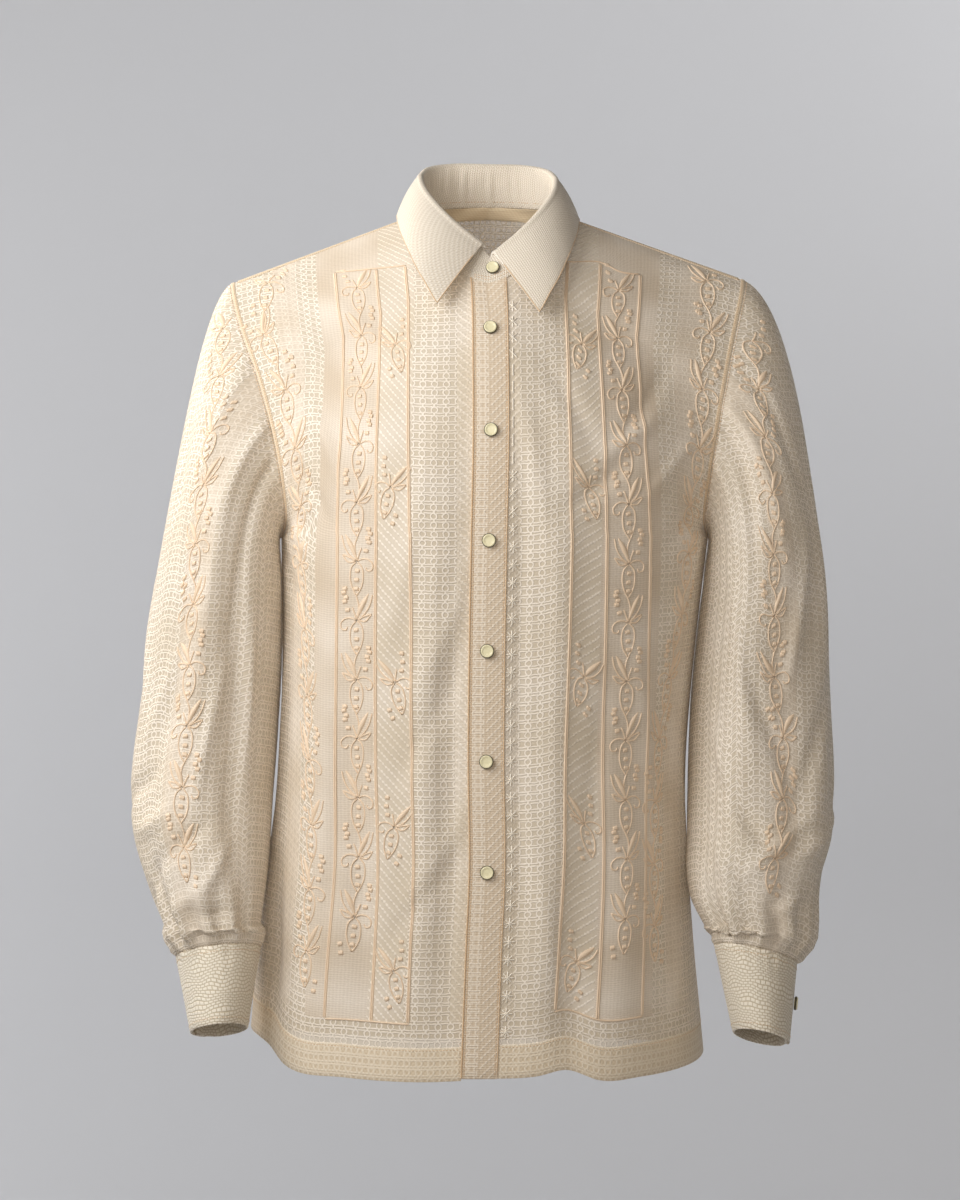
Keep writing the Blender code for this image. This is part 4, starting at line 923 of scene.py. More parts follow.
def band_shape(share_across):
    """The face of the buttoned band at the left front's level: a column for each share of its width."""
    rows = ROWS_BELOW + ROWS_ABOVE - NECK_ROWS_FRONT + 1
    left = body[1, -1]["points"][:rows, 0]
    away = 2 * BAND_HALF * (1 - share_across)[None, :, None]
    face = left[:, None] - away * np.array((1.0, 0, 0))
    face[..., 1] -= BAND_CROWN * (1 - (2 * share_across - 1) ** 2)
    # Near the neck its columns turn down to the neckline's curve.
    angles = np.arcsin((2 * share_across - 1) * BAND_HALF / NECK_HALF_WIDTH)
    seam = np.array([neck_point(abs(angle)) * (np.sign(angle), 1, 1) for angle in angles])
    face += (seam - face[-1]) * soft((np.arange(rows) - (rows - 11)) / 10)[:, None, None]
    return face, unit(grid_normals(face, np.array((0, -1, 0))))


SHARES = np.linspace(0, 1, 15)
band, band_out = band_shape(SHARES)
under = band - band_out * UNDER_DROP
under[:, 1:] += (under[:, :1] - under[:, 1:]) * (UNDER_INSET / (2 * BAND_HALF))
placket = band + band_out * BAND_PROUD
print(f"the band is {lengths(band[:, 7])[-1] * 1000:.0f} mm long")

# %% The cuffs


def cuff_shape(side):
    """A cuff's outer face and the directions out of it, from the top rim to the foot."""
    step = radians(7.5)
    turned = CUFF[side]["turned"] * step
    angles = np.linspace(CUFF_FIRST, CUFF_LAST, 200) - turned
    lap_start = CUFF_FIRST + 2 * pi - turned
    sunk = np.clip(((angles - lap_start) / step + 4) / 3, 0, 1) * (FIRM_CLOTH + SEAM_GAP + LAP_CLEARANCE)
    rings, outs = zip(*(cuff_ring(side, share, angles, sunk) for share in np.linspace(0, 1, 15)))
    rings, outs = np.array(rings), np.array(outs)
    # The gathers above it leave soft dents below the top seam.
    fading = np.clip(1 - np.linspace(0, 1, 15) / 0.45, 0, 1)[:, None]
    dents = 0.0005 * np.cos(angles * 17 + side) * np.cos(angles * 5) * fading
    dents *= (angles < lap_start - 4 * step) & (angles > CUFF_FIRST - turned + 4 * step)
    return rings + outs * dents[..., None], outs


cuffs = {side: cuff_shape(side) for side in (-1, 1)}
print("the cuffs are", round(np.linalg.norm(cuffs[1][0][-1, 0] - cuffs[1][0][0, 0]) * 1000), "mm deep")

# %% [markdown]
# ## The net
# Barong cloth was once woven from pineapple or abaca fibre and is now often a machine-made net of the
# same look: little rings of thread in upright columns, knotted to each other, with ladders of thread
# between the columns. The rings are 5 mm wide and there are tens of thousands, so they aren't modelled.
# They are drawn by maths on the UVs: the distance to the nearest thread gives how far the cloth covers
# what is behind it (alpha) and how high it stands (bump).

# %% The ring net
RING_COLUMN = 10.7  # mm from one column of rings to the next
RING_ROW = 7.9  # mm from one ring to the next
RING_RADIUS = 2.7  # mm, to the middle of the thread
LADDER_HALF = 1.15  # mm from the middle of a slot to the thread beside it
THREAD_HALF = 0.55  # mm; the real thread is finer, but this one shows from a few steps away
FAR = 5.0  # mm, added to a distance where there is no such thread


def cloth_places(tree):
    """The places across and up the cloth, in millimetres."""
    split = add(tree, "SeparateXYZ", add(tree, "UVMap", uv_map="cloth"))
    return [add(tree, "Math MULTIPLY", split.outputs[axis], 1000.0) for axis in ("X", "Y")]


def ring_net(tree, across, up):
    """The distance to the nearest thread of the ring net, in millimetres."""
    half_row = add(tree, "Math PINGPONG", up, RING_ROW / 2)
    beside = add(tree, "Math SUBTRACT", RING_COLUMN / 2, add(tree, "Math PINGPONG", across, RING_COLUMN / 2))
    radius = add(tree, "VectorMath LENGTH", add(tree, "CombineXYZ", beside, half_row, 0.0))
    to_ring = add(tree, "Math ABSOLUTE", add(tree, "Math SUBTRACT", radius, RING_RADIUS))
    # Crossed threads join a ring to the next one of its column.
    left_over = add(tree, "Math SUBTRACT", RING_ROW / 2, half_row)
    off_cross = add(tree, "Math SUBTRACT", beside, add(tree, "Math MULTIPLY", left_over, 0.8))
    beyond = add(tree, "Math GREATER_THAN", beside, 1.8)
    to_cross = add(tree, "Math MULTIPLY_ADD", beyond, FAR, add(tree, "Math ABSOLUTE", off_cross))
    # Two ladder threads join each knot to its neighbour in the next column, with a slot between them.
    off_ladder = add(tree, "Math SUBTRACT", left_over, LADDER_HALF)
    within = add(tree, "Math LESS_THAN", beside, RING_RADIUS * 0.7)
    to_ladder = add(tree, "Math MULTIPLY_ADD", within, FAR, add(tree, "Math ABSOLUTE", off_ladder))
    return add(tree, "Math MINIMUM", add(tree, "Math MINIMUM", to_ring, to_cross), to_ladder)


def threads(tree, distance, low, high):
    """How much thread there is at a distance: all of it below low, none beyond high."""
    return add(tree, "MapRange", distance, low, high, 1.0, 0.0, interpolation_type="SMOOTHSTEP")


def wave(tree, place, pitch, kind="SINE"):
    """A sine wave over a place, one to each pitch in millimetres."""
    return add(tree, "Math " + kind, add(tree, "Math MULTIPLY", place, 2 * pi / pitch))


def noise(tree, across, up, **settings):
    """A soft random pattern over the cloth."""
    return add(tree, "TexNoise", add(tree, "CombineXYZ", across, up, 0.0), noise_dimensions="2D", **settings)


# %% [markdown]
# ## Three grounds on one panel
# The fronts aren't the same net all over. Beside the buttons and in the inner column of embroidery the
# threads cross as a slanting lattice; behind the vines the ground is a fine close gauze; the rest is
# ring net. A colour ramp over the distance from the middle holds the plan: red is how much ring net
# there is, green how much lattice and blue how much gauze.

# %% Lattice, gauze and the panel's plan
LATTICE = 8.0  # mm between the slanting chains
LINK = 3.8  # mm, the length of a chain's link
GAUZE = 2.0  # mm between the gauze's threads; the real ones are 0.5 mm apart, too fine to show


def lattice(tree, across, up):
    """The distance to the nearest slanting chain, in millimetres, a little more between its links."""
    beside = add(tree, "Math PINGPONG", add(tree, "Math SUBTRACT", up, across), LATTICE / 2)
    link = wave(tree, add(tree, "Math ADD", up, across), LINK * 1.4)
    return add(tree, "Math MULTIPLY_ADD", link, 0.55, beside)


def gauze(tree, across, up):
    """How dense the fine gauze is, from 0 between its threads to 1 on them."""
    both = add(tree, "Math MULTIPLY_ADD", wave(tree, across, GAUZE * 1.7), 0.5, wave(tree, up, GAUZE))
    return add(tree, "Math MULTIPLY_ADD", both, 0.33, 0.5)


# Distance from the middle in mm, and the shares of ring net, lattice and gauze from there on.
RINGS, CHAINS, FINE = (1, 0, 0), (0, 1, 0), (0, 0, 1)
FRONT_PLAN = (
    (0, (0.25, 0.75, 0)), (27, RINGS), (69, CHAINS), (103, FINE), (164, RINGS), (184, (0.3, 0, 0.7)), (208, RINGS)
)
SLEEVE_PLAN = ((0, RINGS), (84, (0.35, 0, 0.65)), (114, RINGS))
BACK_PLAN = ((0, RINGS),)
PLAN_REACH = 300  # mm that the ramp spans
FRAME_FOOT = 51  # mm up the fronts, where their embroidered frames start
HOLE_COVER = 0.75  # loose fibres fill much of each hole
# The holes' colour is painted shade: the shade of the shirt's inside seen through them, laid over the loose fibres
# that fill them.
HOLE_SHADE_COLOUR = "#E0D1B9"
GAUZE_COLOUR = "#D6C4AC"  # the gauze is thinner, so more of the shade inside comes through


def colour_and_relief(tree, shader, share, low, high, height, strength, depth):
    """Colours a shader from low to high by a share, and lets its surface stand as high as height says."""
    mixed = add(tree, "Mix", share, low, high, data_type="RGBA")
    bump = add(tree, "Bump", strength, depth, None, height)
    tree.links.new(mixed.outputs[2], shader.inputs["Base Color"])
    tree.links.new(bump.outputs["Normal"], shader.inputs["Normal"])


def net_material(name, plan, colour, foot=0):
    """Net whose threads cover what is behind them, and whose holes let it show. Below foot it's all rings."""
    # Fine ecru thread, knotted: matt, with no shine of its own, brighter where threads stack.
    material, tree, shader = new_material(name, colour, 0.62)
    across, up = cloth_places(tree)
    share = add(tree, "Math MULTIPLY", add(tree, "Math ABSOLUTE", across), 1 / PLAN_REACH)
    ramp = add(tree, "ValToRGB", share)
    ramp.color_ramp.interpolation = "CONSTANT"
    stops = ramp.color_ramp.elements
    stops.remove(stops[1])
    for start, weights in plan:
        stop = stops.new(start / PLAN_REACH) if start else stops[0]
        stop.color = (*weights, 1)
    low = add(tree, "Math LESS_THAN", up, foot)
    planned = add(tree, "Mix", low, ramp, (1, 0, 0, 1), data_type="RGBA")
    rings_here, chains_here, gauze_here = add(tree, "SeparateColor", planned).outputs
    # Threads wander a little, so no two rings are quite alike.
    place = add(tree, "CombineXYZ", across, up, 0.0)
    wander = noise(tree, across, up, Scale=0.25, Detail=0.0).outputs["Color"]
    shift = add(tree, "VectorMath SUBTRACT", wander, (0.5, 0.5, 0.5))
    moved = add(tree, "SeparateXYZ", add(tree, "VectorMath ADD", place, shift)).outputs
    rings = threads(tree, ring_net(tree, *moved[:2]), THREAD_HALF * 0.55, THREAD_HALF * 1.6)
    chains = threads(tree, lattice(tree, *moved[:2]), 0.3, 1.5)
    cover = add(tree, "Math MULTIPLY", rings, rings_here)
    chain_cover = add(tree, "Math MULTIPLY_ADD", chains, 0.60, 0.22)
    cover = add(tree, "Math MULTIPLY_ADD", chain_cover, chains_here, cover)
    fine_cover = add(tree, "Math MULTIPLY_ADD", gauze(tree, *moved[:2]), 0.34, 0.20)
    cover = add(tree, "Math MULTIPLY_ADD", fine_cover, gauze_here, cover)
    alpha = add(tree, "MapRange", cover, 0.0, 0.8, HOLE_COVER, 1.0)
    tree.links.new(alpha.outputs["Result"], shader.inputs["Alpha"])
    # Some parts of a hand-finished net lie closer than others, which gives soft paler and darker patches.
    closer = noise(tree, across, up, Scale=0.022, Detail=0.0)
    tone = add(tree, "Math MULTIPLY_ADD", closer, 0.9, cover)
    tone = add(tree, "Math SUBTRACT", tone, 0.45, use_clamp=True)
    # The holes take the darker hole colour, painted shade of the inside; in the gauze a darker one still.
    hole = add(tree, "Mix", gauze_here, linear(HOLE_SHADE_COLOUR), linear(GAUZE_COLOUR), data_type="RGBA")
    colour_and_relief(tree, shader, tone, hole, linear(colour), cover, 0.6, 0.0008)
    return material


front_net = net_material("knotted_net_of_the_fronts", FRONT_PLAN, "#F5EADB", FRAME_FOOT)
back_net = net_material("knotted_net_of_the_back", BACK_PLAN, "#F6ECDC")
sleeve_net = net_material("knotted_net_of_the_sleeves", SLEEVE_PLAN, "#F5EADB")
print("a sleeve has about", round(470 / RING_COLUMN), "columns of rings")

# %% [markdown]
# ## Doubled net, firm weave, satin thread and shell
# Where the net is doubled, as in the button band and the hem, the rings of one layer fill the holes of
# the other, so it covers fully and only its relief shows. The collar and cuffs are a close ribbed weave
# over a stiffener, and the cuffs' weave is laid in courses. The vines are satin stitch, whose parallel
# shiny threads catch the light across their length. The buttons are pale shell, turned and polished.
# In the doubled net, the weaves and the stitches, every hollow is painted darker: painted shade.

# %% Materials without holes


def relief_material(name, low_colour, high_colour, roughness, height_of, strength, depth):
    """A material that covers fully. Its colour goes from low_colour where its relief is low to high_colour where it
    is high: painted shade in the hollows of a weave or of stitches, and the real lighter and darker layers of
    shell. height_of: gives the relief from across and up.
    """
    material, tree, shader = new_material(name, high_colour, roughness)
    height = height_of(tree, *cloth_places(tree))
    # Low places take low_colour: painted shade in the hollows.
    colour_and_relief(tree, shader, height, linear(low_colour), linear(high_colour), height, strength, depth)
    shader.inputs["Sheen Weight"].default_value = 0.2
    return material


def doubled(tree, across, up):
    """The rings of one layer over the fine ground of the other."""
    rings = threads(tree, ring_net(tree, across, up), 0.3, 1.1)
    return add(tree, "Math MULTIPLY_ADD", gauze(tree, across, up), 0.35, add(tree, "Math MULTIPLY", rings, 0.65))


RING_LINE = 9.0  # mm from the band's edge to its single column of rings


def band_cloth(tree, across, up):
    """One column of rings, slanting chains beside it, and a close basket weave under both."""
    moved = add(tree, "Math SUBTRACT", across, RING_LINE)
    rings = threads(tree, ring_net(tree, moved, up), 0.3, 1.2)
    column = add(tree, "Math LESS_THAN", add(tree, "Math ABSOLUTE", moved), RING_COLUMN / 2)
    chains = threads(tree, lattice(tree, across, up), 0.3, 1.4)
    beside = add(tree, "Math GREATER_THAN", across, RING_LINE + 7.0)
    both = add(tree, "Math MULTIPLY_ADD", chains, beside, add(tree, "Math MULTIPLY", rings, column))
    return add(tree, "Math MULTIPLY_ADD", gauze(tree, across, up), 0.5, add(tree, "Math MULTIPLY", both, 0.45))


RIB = 4.4  # mm for a pair of leaning ribs; the real weave is half as coarse
RIB_ROW = 2.2  # mm from row to row


def ribbed(tree, across, up):
    """Short leaning stitches, left and right by turns, in rows."""
    slid = add(tree, "Math MULTIPLY_ADD", add(tree, "Math PINGPONG", across, RIB / 2), 0.9, up)
    both = add(tree, "Math ADD", wave(tree, slid, RIB_ROW), wave(tree, across, RIB / 2, "COSINE"))
    return add(tree, "Math MULTIPLY_ADD", both, 0.25, 0.5)


BRICK, COURSE = 4.6, 3.0  # mm, length and height


def wavy_courses(tree, across, up):
    """Low blocks in courses that wave a little, each half a block further on than the one below."""
    bend = noise(tree, across, up, Scale=0.06, Detail=0.0)
    up = add(tree, "Math MULTIPLY_ADD", bend, 7.0, up)
    across = add(tree, "Math MULTIPLY_ADD", bend, 2.0, across)
    course = add(tree, "Math FLOOR", add(tree, "Math MULTIPLY", up, 1 / COURSE))
    slid = add(tree, "Math MULTIPLY_ADD", course, BRICK / 2, across)
    edges = [add(tree, "Math PINGPONG", *ends) for ends in ((slid, BRICK / 2), (up, COURSE / 2))]
    groove = threads(tree, add(tree, "Math MINIMUM", *edges), 0.1, 0.7)
    block = add(tree, "Math SUBTRACT", 1.0, groove)
    return add(tree, "Math MULTIPLY_ADD", wave(tree, across, 1.3), 0.16, block)


def hem_rows(tree, across, up):
    """Rows of rings pressed flat, with a line of stitches between them."""
    grid = add(tree, "Math MULTIPLY", wave(tree, up, 4.2), wave(tree, across, 3.6))
    rings = threads(tree, ring_net(tree, across, up), 0.3, 1.2)
    return add(tree, "Math MULTIPLY_ADD", grid, 0.2, add(tree, "Math MULTIPLY_ADD", rings, 0.5, 0.3))


def layers_of_shell(tree, across, up):
    """Thin wandering layers, a little lighter and darker by turns."""
    return noise(tree, across, up, Scale=0.35, Distortion=1.5)


STITCH = 0.9  # mm between the satin's threads; the real ones are 0.3 mm apart


def satin(tree, along, round_):
    """Threads laid side by side, slightly slanting."""
    slanting = add(tree, "Math MULTIPLY_ADD", round_, 0.5, along)
    return add(tree, "Math MULTIPLY_ADD", wave(tree, slanting, STITCH), 0.5, 0.5)


firm_net = relief_material("doubled_knotted_net", "#CFBB9A", "#F0E3CE", 0.65, doubled, 0.7, 0.0006)
band_net = relief_material("band_of_doubled_net", "#CDB79A", "#F6EAD9", 0.65, band_cloth, 0.8, 0.0006)
firm = relief_material("ribbed_weave_over_stiffener", "#CDBEA6", "#FAF1E4", 0.7, ribbed, 0.8, 0.0006)
cuff_weave = relief_material("wavy_weave_over_stiffener", "#CBBB9F", "#F5ECDB", 0.7, wavy_courses, 0.7, 0.0006)
hem_net = relief_material("net_turned_up_twice", "#CDB898", "#F2E5D0", 0.7, hem_rows, 0.7, 0.0006)
seam_net = relief_material("folded_net_of_the_seams", "#CDB594", "#ECDAC0", 0.7, gauze, 0.5, 0.0003)
thread = relief_material("satin_stitch_thread", "#DCBE9A", "#F6E2CA", 0.42, satin, 0.35, 0.0002)
bright_thread = relief_material("bright_cotton_thread", "#F6EBD9", "#FFFAF0", 0.5, satin, 0.2, 0.0001)
sewing_thread = relief_material("spun_sewing_thread", "#C49A6C", "#EBD3B0", 0.6, satin, 0.3, 0.0001)
tape = relief_material("plain_woven_tape", "#DCC49F", "#F2E1C3", 0.8, gauze, 0.4, 0.0002)
shell = relief_material("polished_pale_shell", "#E3D8A8", "#F7F0CF", 0.3, layers_of_shell, 0.1, 0.00005)
shell.node_tree.nodes["Principled BSDF"].inputs["Coat Weight"].default_value = 0.4
# A dark olive ring that shows round each button's cap.
dark_olive_foot = relief_material("dark_olive_rim", "#3E3A26", "#5A553A", 0.45, layers_of_shell, 0.1, 0.00005)
for piece in bpy.data.objects:
    if piece.name.startswith("button_") and piece.name != "button_stand":
        for slot in piece.material_slots:
            slot.material = shell
print("materials:", ", ".join(material.name for material in bpy.data.materials))

# %% [markdown]
# ## From points to meshes
# A grid of points becomes a mesh by joining each four neighbours to a face. Each corner also gets a UV
# place in metres, measured along the real cloth. Then a pattern drawn at its real size in millimetres
# fits every piece, and it bends and leans with the cloth. A wall is three grids: outside, inside, rim.

# %% Mesh builders


def piece_from(name, patches, material, sharp=50):
    """An object from patches of points, each with its places u and v along the cloth. A patch whose u has one
    more column than its points closes on itself."""
    points, faces, places = [], [], []
    for grid, u, v in patches:
        rows, columns = grid.shape[:2]
        index = sum(len(each) for each in points) + np.arange(rows * columns).reshape(rows, columns)
        if u.shape[-1] > columns:
            index = np.concatenate((index, index[:, :1]), axis=1)
            v = v if v.shape[-1] > columns else np.concatenate((v, v[:, :1]), axis=1)
        here = np.stack(np.broadcast_arrays(u, v), axis=-1)
        low, high = slice(None, -1), slice(1, None)
        corners = ((low, low), (low, high), (high, high), (high, low))
        points.append(grid.reshape(-1, 3))
        faces.append(np.stack([index[c] for c in corners], axis=-1).reshape(-1, 4))
        places.append(np.stack([here[c] for c in corners], axis=2).reshape(-1, 2))
    mesh = bpy.data.meshes.new(name)
    mesh.from_pydata(np.concatenate(points).tolist(), [], np.concatenate(faces).tolist())
    mesh.uv_layers.new(name="cloth").data.foreach_set("uv", np.concatenate(places).ravel())
    welded = bmesh.new()
    welded.from_mesh(mesh)
    bmesh.ops.remove_doubles(welded, verts=welded.verts, dist=2e-6)
    bmesh.ops.recalc_face_normals(welded, faces=welded.faces)
    welded.to_mesh(mesh)
    welded.free()
    mesh.materials.append(material)
    mesh.shade_smooth()
    mesh.set_sharp_from_angle(angle=radians(sharp))
    piece = bpy.data.objects.new(name, mesh)
    bpy.context.scene.collection.objects.link(piece)
    return piece


def rim(outer, inner, beyond):
    """Points round the rounded rim between the edges of two faces. beyond: the next line into the wall."""
    middle, half = (outer + inner) / 2, (outer - inner) / 2
    away = unit(middle - beyond) * np.linalg.norm(half, axis=1, keepdims=True)
    return np.array([middle + half * cos(t) + away * 0.7 * sin(t) for t in np.linspace(0, pi, 5)])


def wall_patches(outer, inner, measured=None):
    """The patches of a wall with rounded rims all round. Its UVs are measured along measured, or else outer."""
    measured = outer if measured is None else measured
    u, v, middle = lengths(measured, 1), lengths(measured), (outer + inner) / 2
    patches = [(outer, u, v), (inner, u, v)]
    for turned in (False, True):
        a, b, m, s, t = (np.swapaxes(x, 0, 1) if turned else x for x in (outer, inner, middle, u, v))
        for edge, next_in in ((0, 1), (-1, -2)):
            points = rim(a[edge], b[edge], m[next_in])
            patches.append((points, *(np.broadcast_to(x[edge], points.shape[:2]) for x in (s, t))))
    return patches


def area_of(piece):
    return sum(face.area for face in piece.data.polygons)


print("every piece is a mesh with UVs in metres")

# %% [markdown]
# ## The shirt's pieces
# Now each piece that a tailor cuts is made, laid on the frame's root body and named as what stands for
# the plain solid. The net panels are single sheets, because the net is only threads; the firm parts
# are walls.

# %% Pieces


def trim(name, patches, material, sharp=60):
    """A piece that lies on the shirt."""
    piece = piece_from(name, patches, material, sharp)
    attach(piece, "root")
    return piece


def dress(name, node, patches, material):
    """A piece that stands for a solid."""
    piece = trim(name, patches, material, 50)
    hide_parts(node)
    return piece


def panel_patch(side, face):
    quarter_ = body[side, face]
    points = quarter_["points"] - quarter_["out"] * CLOTH / 2
    return points, quarter_["across"] * (side if face > 0 else 1), quarter_["up"]


panels = {}
for side in (-1, 1):
    name = "front_" + SIDE_NAMES[side]
    panels[name] = dress("net_" + name, name, [panel_patch(side, -1)], front_net)
    name = "sleeve_" + SIDE_NAMES[side]
    tube = sleeves[side]
    points = tube["points"] - tube["out"] * CLOTH / 2
    patch = (points, np.tile(tube["across"], (len(points), 1)), tube["up"])
    panels[name] = dress("net_" + name, name, [patch], sleeve_net)
halves = [panel_patch(side, 1) for side in (-1, 1)]
panels["back"] = dress("net_back", "back", halves, back_net)

# The stand's inner layer has more cloth than room, so it stands in soft upright creases.
around = lengths(stand, 1)[4]
waves = ((0.35, 0.0130, 0.4), (0.30, 0.0083, 2.1), (0.25, 0.0210, 1.2))  # depth, pitch, shift
creases = sum(deep * np.cos(around * 2 * pi / pitch + shift) for deep, pitch, shift in waves)
creases *= np.clip((np.minimum(around, around[-1] - around) - 0.09) / 0.03, 0, 1)
lift = np.sin(np.linspace(0.4, 2.9, len(stand)))[:, None, None]
stand_thick = FIRM_CLOTH + 0.0011 * creases[None, :, None] * lift

walls = {
    "placket": (placket, band_out, BAND_CLOTH, band_net, "doubled_net"),
    "button_stand": (under, band_out, BAND_CLOTH, firm_net, "doubled_net"),
    "collar_stand": (stand, stand_out, stand_thick, firm, "firm_weave"),
    "collar_leaf": (leaf + leaf_out * FIRM_CLOTH / 2, leaf_out, FIRM_CLOTH, firm, "firm_weave"),
    "cuff_right": (*cuffs[-1], FIRM_CLOTH, cuff_weave, "firm_weave"),
    "cuff_left": (*cuffs[1], FIRM_CLOTH, cuff_weave, "firm_weave"),
}
for name, (outer, out, thick, material, slot) in walls.items():
    panels[name] = dress("firm_" + name, name, wall_patches(outer, outer - out * thick), material)
for name, piece in panels.items():
    print(f"{name}: {len(piece.data.polygons)} faces, {area_of(piece) * 1e4:.0f} square cm")

# %% [markdown]
# ## Embroidery
# Vines of leaves and seed pods climb both fronts and the sleeves. On the real shirt each line is a thin
# cord sewn down, and each leaf and seed is a pad of satin stitch. They stand about a millimetre high
# and throw small shadows, so they are modelled. All of them are one kind of shape, a ridge: a soft
# rounded section that follows a path, wide for a leaf and narrow for a cord. A path is drawn flat, in
# millimetres, and then laid on the bent cloth through the same places across and up as the patterns.

# %% Laying flat points on cloth


def cloth_map(points, out, across, up):
    """A panel as a flat map of triangles over its places across and up."""
    index = np.arange(across.size).reshape(across.shape)
    a, b, c, d = index[:-1, :-1], index[:-1, 1:], index[1:, 1:], index[1:, :-1]
    triangles = np.concatenate([np.stack(t, axis=-1).reshape(-1, 3) for t in ((a, b, c), (a, c, d))])
    flat = np.stack((across.ravel(), up.ravel(), np.zeros(across.size)), axis=1)
    tree = BVHTree.FromPolygons(flat.tolist(), triangles.tolist())
    surface = (points - out * CLOTH / 2).reshape(-1, 3)
    return tree, flat[:, :2], triangles, surface, out.reshape(-1, 3)


def lay(cloth, places):
    """Puts flat places (across, up, height) on a panel, in metres. Also tells how far off the panel each is."""
    tree, flat, triangles, surface, out = cloth
    hits = [tree.find_nearest((u, v, 0)) for u, v, _ in places]
    off = np.array([hit[3] for hit in hits])
    corners = triangles[[hit[2] for hit in hits]]
    a, b, c = (flat[corners[:, k]] for k in range(3))
    place = places[:, :2]

    def area(p, q, r):
        return (q[:, 0] - p[:, 0]) * (r[:, 1] - p[:, 1]) - (r[:, 0] - p[:, 0]) * (q[:, 1] - p[:, 1])

    whole = area(a, b, c)
    weights = np.stack((area(place, b, c), area(a, place, c), area(a, b, place)), axis=1) / whole[:, None]
    point = np.einsum("nk,nkd->nd", weights, surface[corners])
    normal = unit(np.einsum("nk,nkd->nd", weights, out[corners]))
    return point + normal * places[:, 2:], off


# %% Ridges


def ridge(path, width, height, step=1.5, sides=6):
    """A ridge along a smooth path through a few flat points, in millimetres: its places (stations, round,
    across-up-height) and its UVs. width and height are numbers, or functions of the share of the way."""
    path = np.array(path, dtype=float)
    stations = lengths(path)
    count = max(4, int(stations[-1] / step) + 2)
    place = np.linspace(0, stations[-1], count)
    line = smooth(place, stations, path)
    share = place / stations[-1]
    way = unit(np.gradient(line, axis=0))
    beside = np.stack((-way[:, 1], way[:, 0]), axis=1)
    wide = (width(share) if callable(width) else np.full(count, width)) / 2
    high = height(share) if callable(height) else np.full(count, height)
    ends = np.ones(count)
    ends[[0, -1]] = 0.0
    turns = np.linspace(0, 2 * pi, sides, endpoint=False)
    rise = np.where(np.sin(turns) > -0.01, np.sin(turns), 0.25 * np.sin(turns))
    flat = line[:, None] + beside[:, None] * (np.cos(turns) * (wide * ends)[:, None])[..., None]
    tall = rise * (high * ends)[:, None]
    along = np.broadcast_to(place[:, None], (count, sides + 1))
    round_ = np.broadcast_to(np.linspace(0, 1, sides + 1) * 3.0, (count, sides + 1))
    return np.concatenate((flat, tall[..., None]), axis=2), along, round_


def pointed(width):
    """The width of a pointed leaf along its share of the way."""
    return lambda share: width * np.sin(pi * np.clip(share, 0.02, 0.98)) ** 0.75


def squared(width):
    """The width of a small square pad, with rounded ends."""
    return lambda share: width * np.clip(np.minimum(share, 1 - share) * 8 + 0.55, 0, 1)


# A stretch of the vine, in millimetres from its joint: across and up. Every second one is mirrored.
CORDS = {
    "pod, one side": ((0, 0), (-4.6, -5), (-6.2, -13.5), (-4.4, -23), (0.4, -31)),
    "pod, other side, and stem": (
        (0, 0), (4.8, -4.5), (6.4, -13), (4.4, -23), (0.4, -31), (-1.8, -38), (-1.4, -46), (0, -52.5)
    ),
    "curl": ((0, 0), (-5.5, 2.2), (-11.5, 1.4), (-15.2, -2.6), (-14, -7.6), (-9.8, -8.0), (-8.6, -4.8)),
    "tendril": ((0, 0), (-1.8, 5.5), (-4.6, 12.5)),
    "leaf, outer edge": ((0.5, 0.5), (6.5, 5.0), (12.0, 13), (15.0, 24)),
    "small leaf, top": ((1.0, 0), (7.0, 3.6), (14.5, 6.5)),
    "small leaf, foot": ((1.0, 0), (8.0, -0.6), (14.5, 6.5)),
}
LEAF = ((0.2, 1.0), (2.8, 8.5), (6.6, 16), (11.5, 24.5))
# Small square pads: across, up, and how far each one leans, in degrees.
POD_SEEDS = ((-0.4, -8.5, 6), (0.2, -16.6, 0), (0.4, -24.4, -6))
LOOSE_SEEDS = ((-12.5, 25.0, 16), (-11.4, 17.0, 10), (-8.6, 9.4, 4), (11.4, -24, -10), (10.2, -32, -6))
CORD_WIDTH, CORD_HEIGHT = 1.5, 1.0  # mm, like all sizes of the embroidery
LEAF_WIDTH, LEAF_HEIGHT = 4.6, 1.6
SEED_WIDTH, SEED, SEED_HEIGHT = 3.9, 5.0, 1.35
STRETCH = 52.5  # from one joint to the next
POD = 30  # a last pod needs as much room below its joint


def vine_stretch(mirror, scale, with_stem=True):
    """The ridges of one stretch of vine about its joint."""
    across = np.array((mirror * scale, scale))
    shapes = []
    for name, path in CORDS.items():
        path = path if with_stem or "stem" not in name else path[:5]
        shapes.append(ridge(np.array(path) * across, CORD_WIDTH, CORD_HEIGHT))
    shapes.append(ridge(np.array(LEAF) * across, pointed(LEAF_WIDTH * scale), pointed(LEAF_HEIGHT), 1.3, 8))
    for x, y, lean in POD_SEEDS + LOOSE_SEEDS:
        middle = np.array((x, y)) * across
        reach = np.array((cos(radians(lean)), mirror * sin(radians(lean)))) * SEED * scale / 2
        path = [middle - reach, middle, middle + reach]
        shapes.append(ridge(path, squared(SEED_WIDTH * scale), squared(SEED_HEIGHT), 0.7, 8))
    return shapes


def place_stretch(shapes, where, lean):
    """Moves ridges drawn about (0, 0) to a place on the cloth, turned by an angle."""
    turn = np.array(((cos(lean), sin(lean)), (-sin(lean), cos(lean))))
    for places, _, _ in shapes:
        places[..., :2] = places[..., :2] @ turn + where
    return shapes


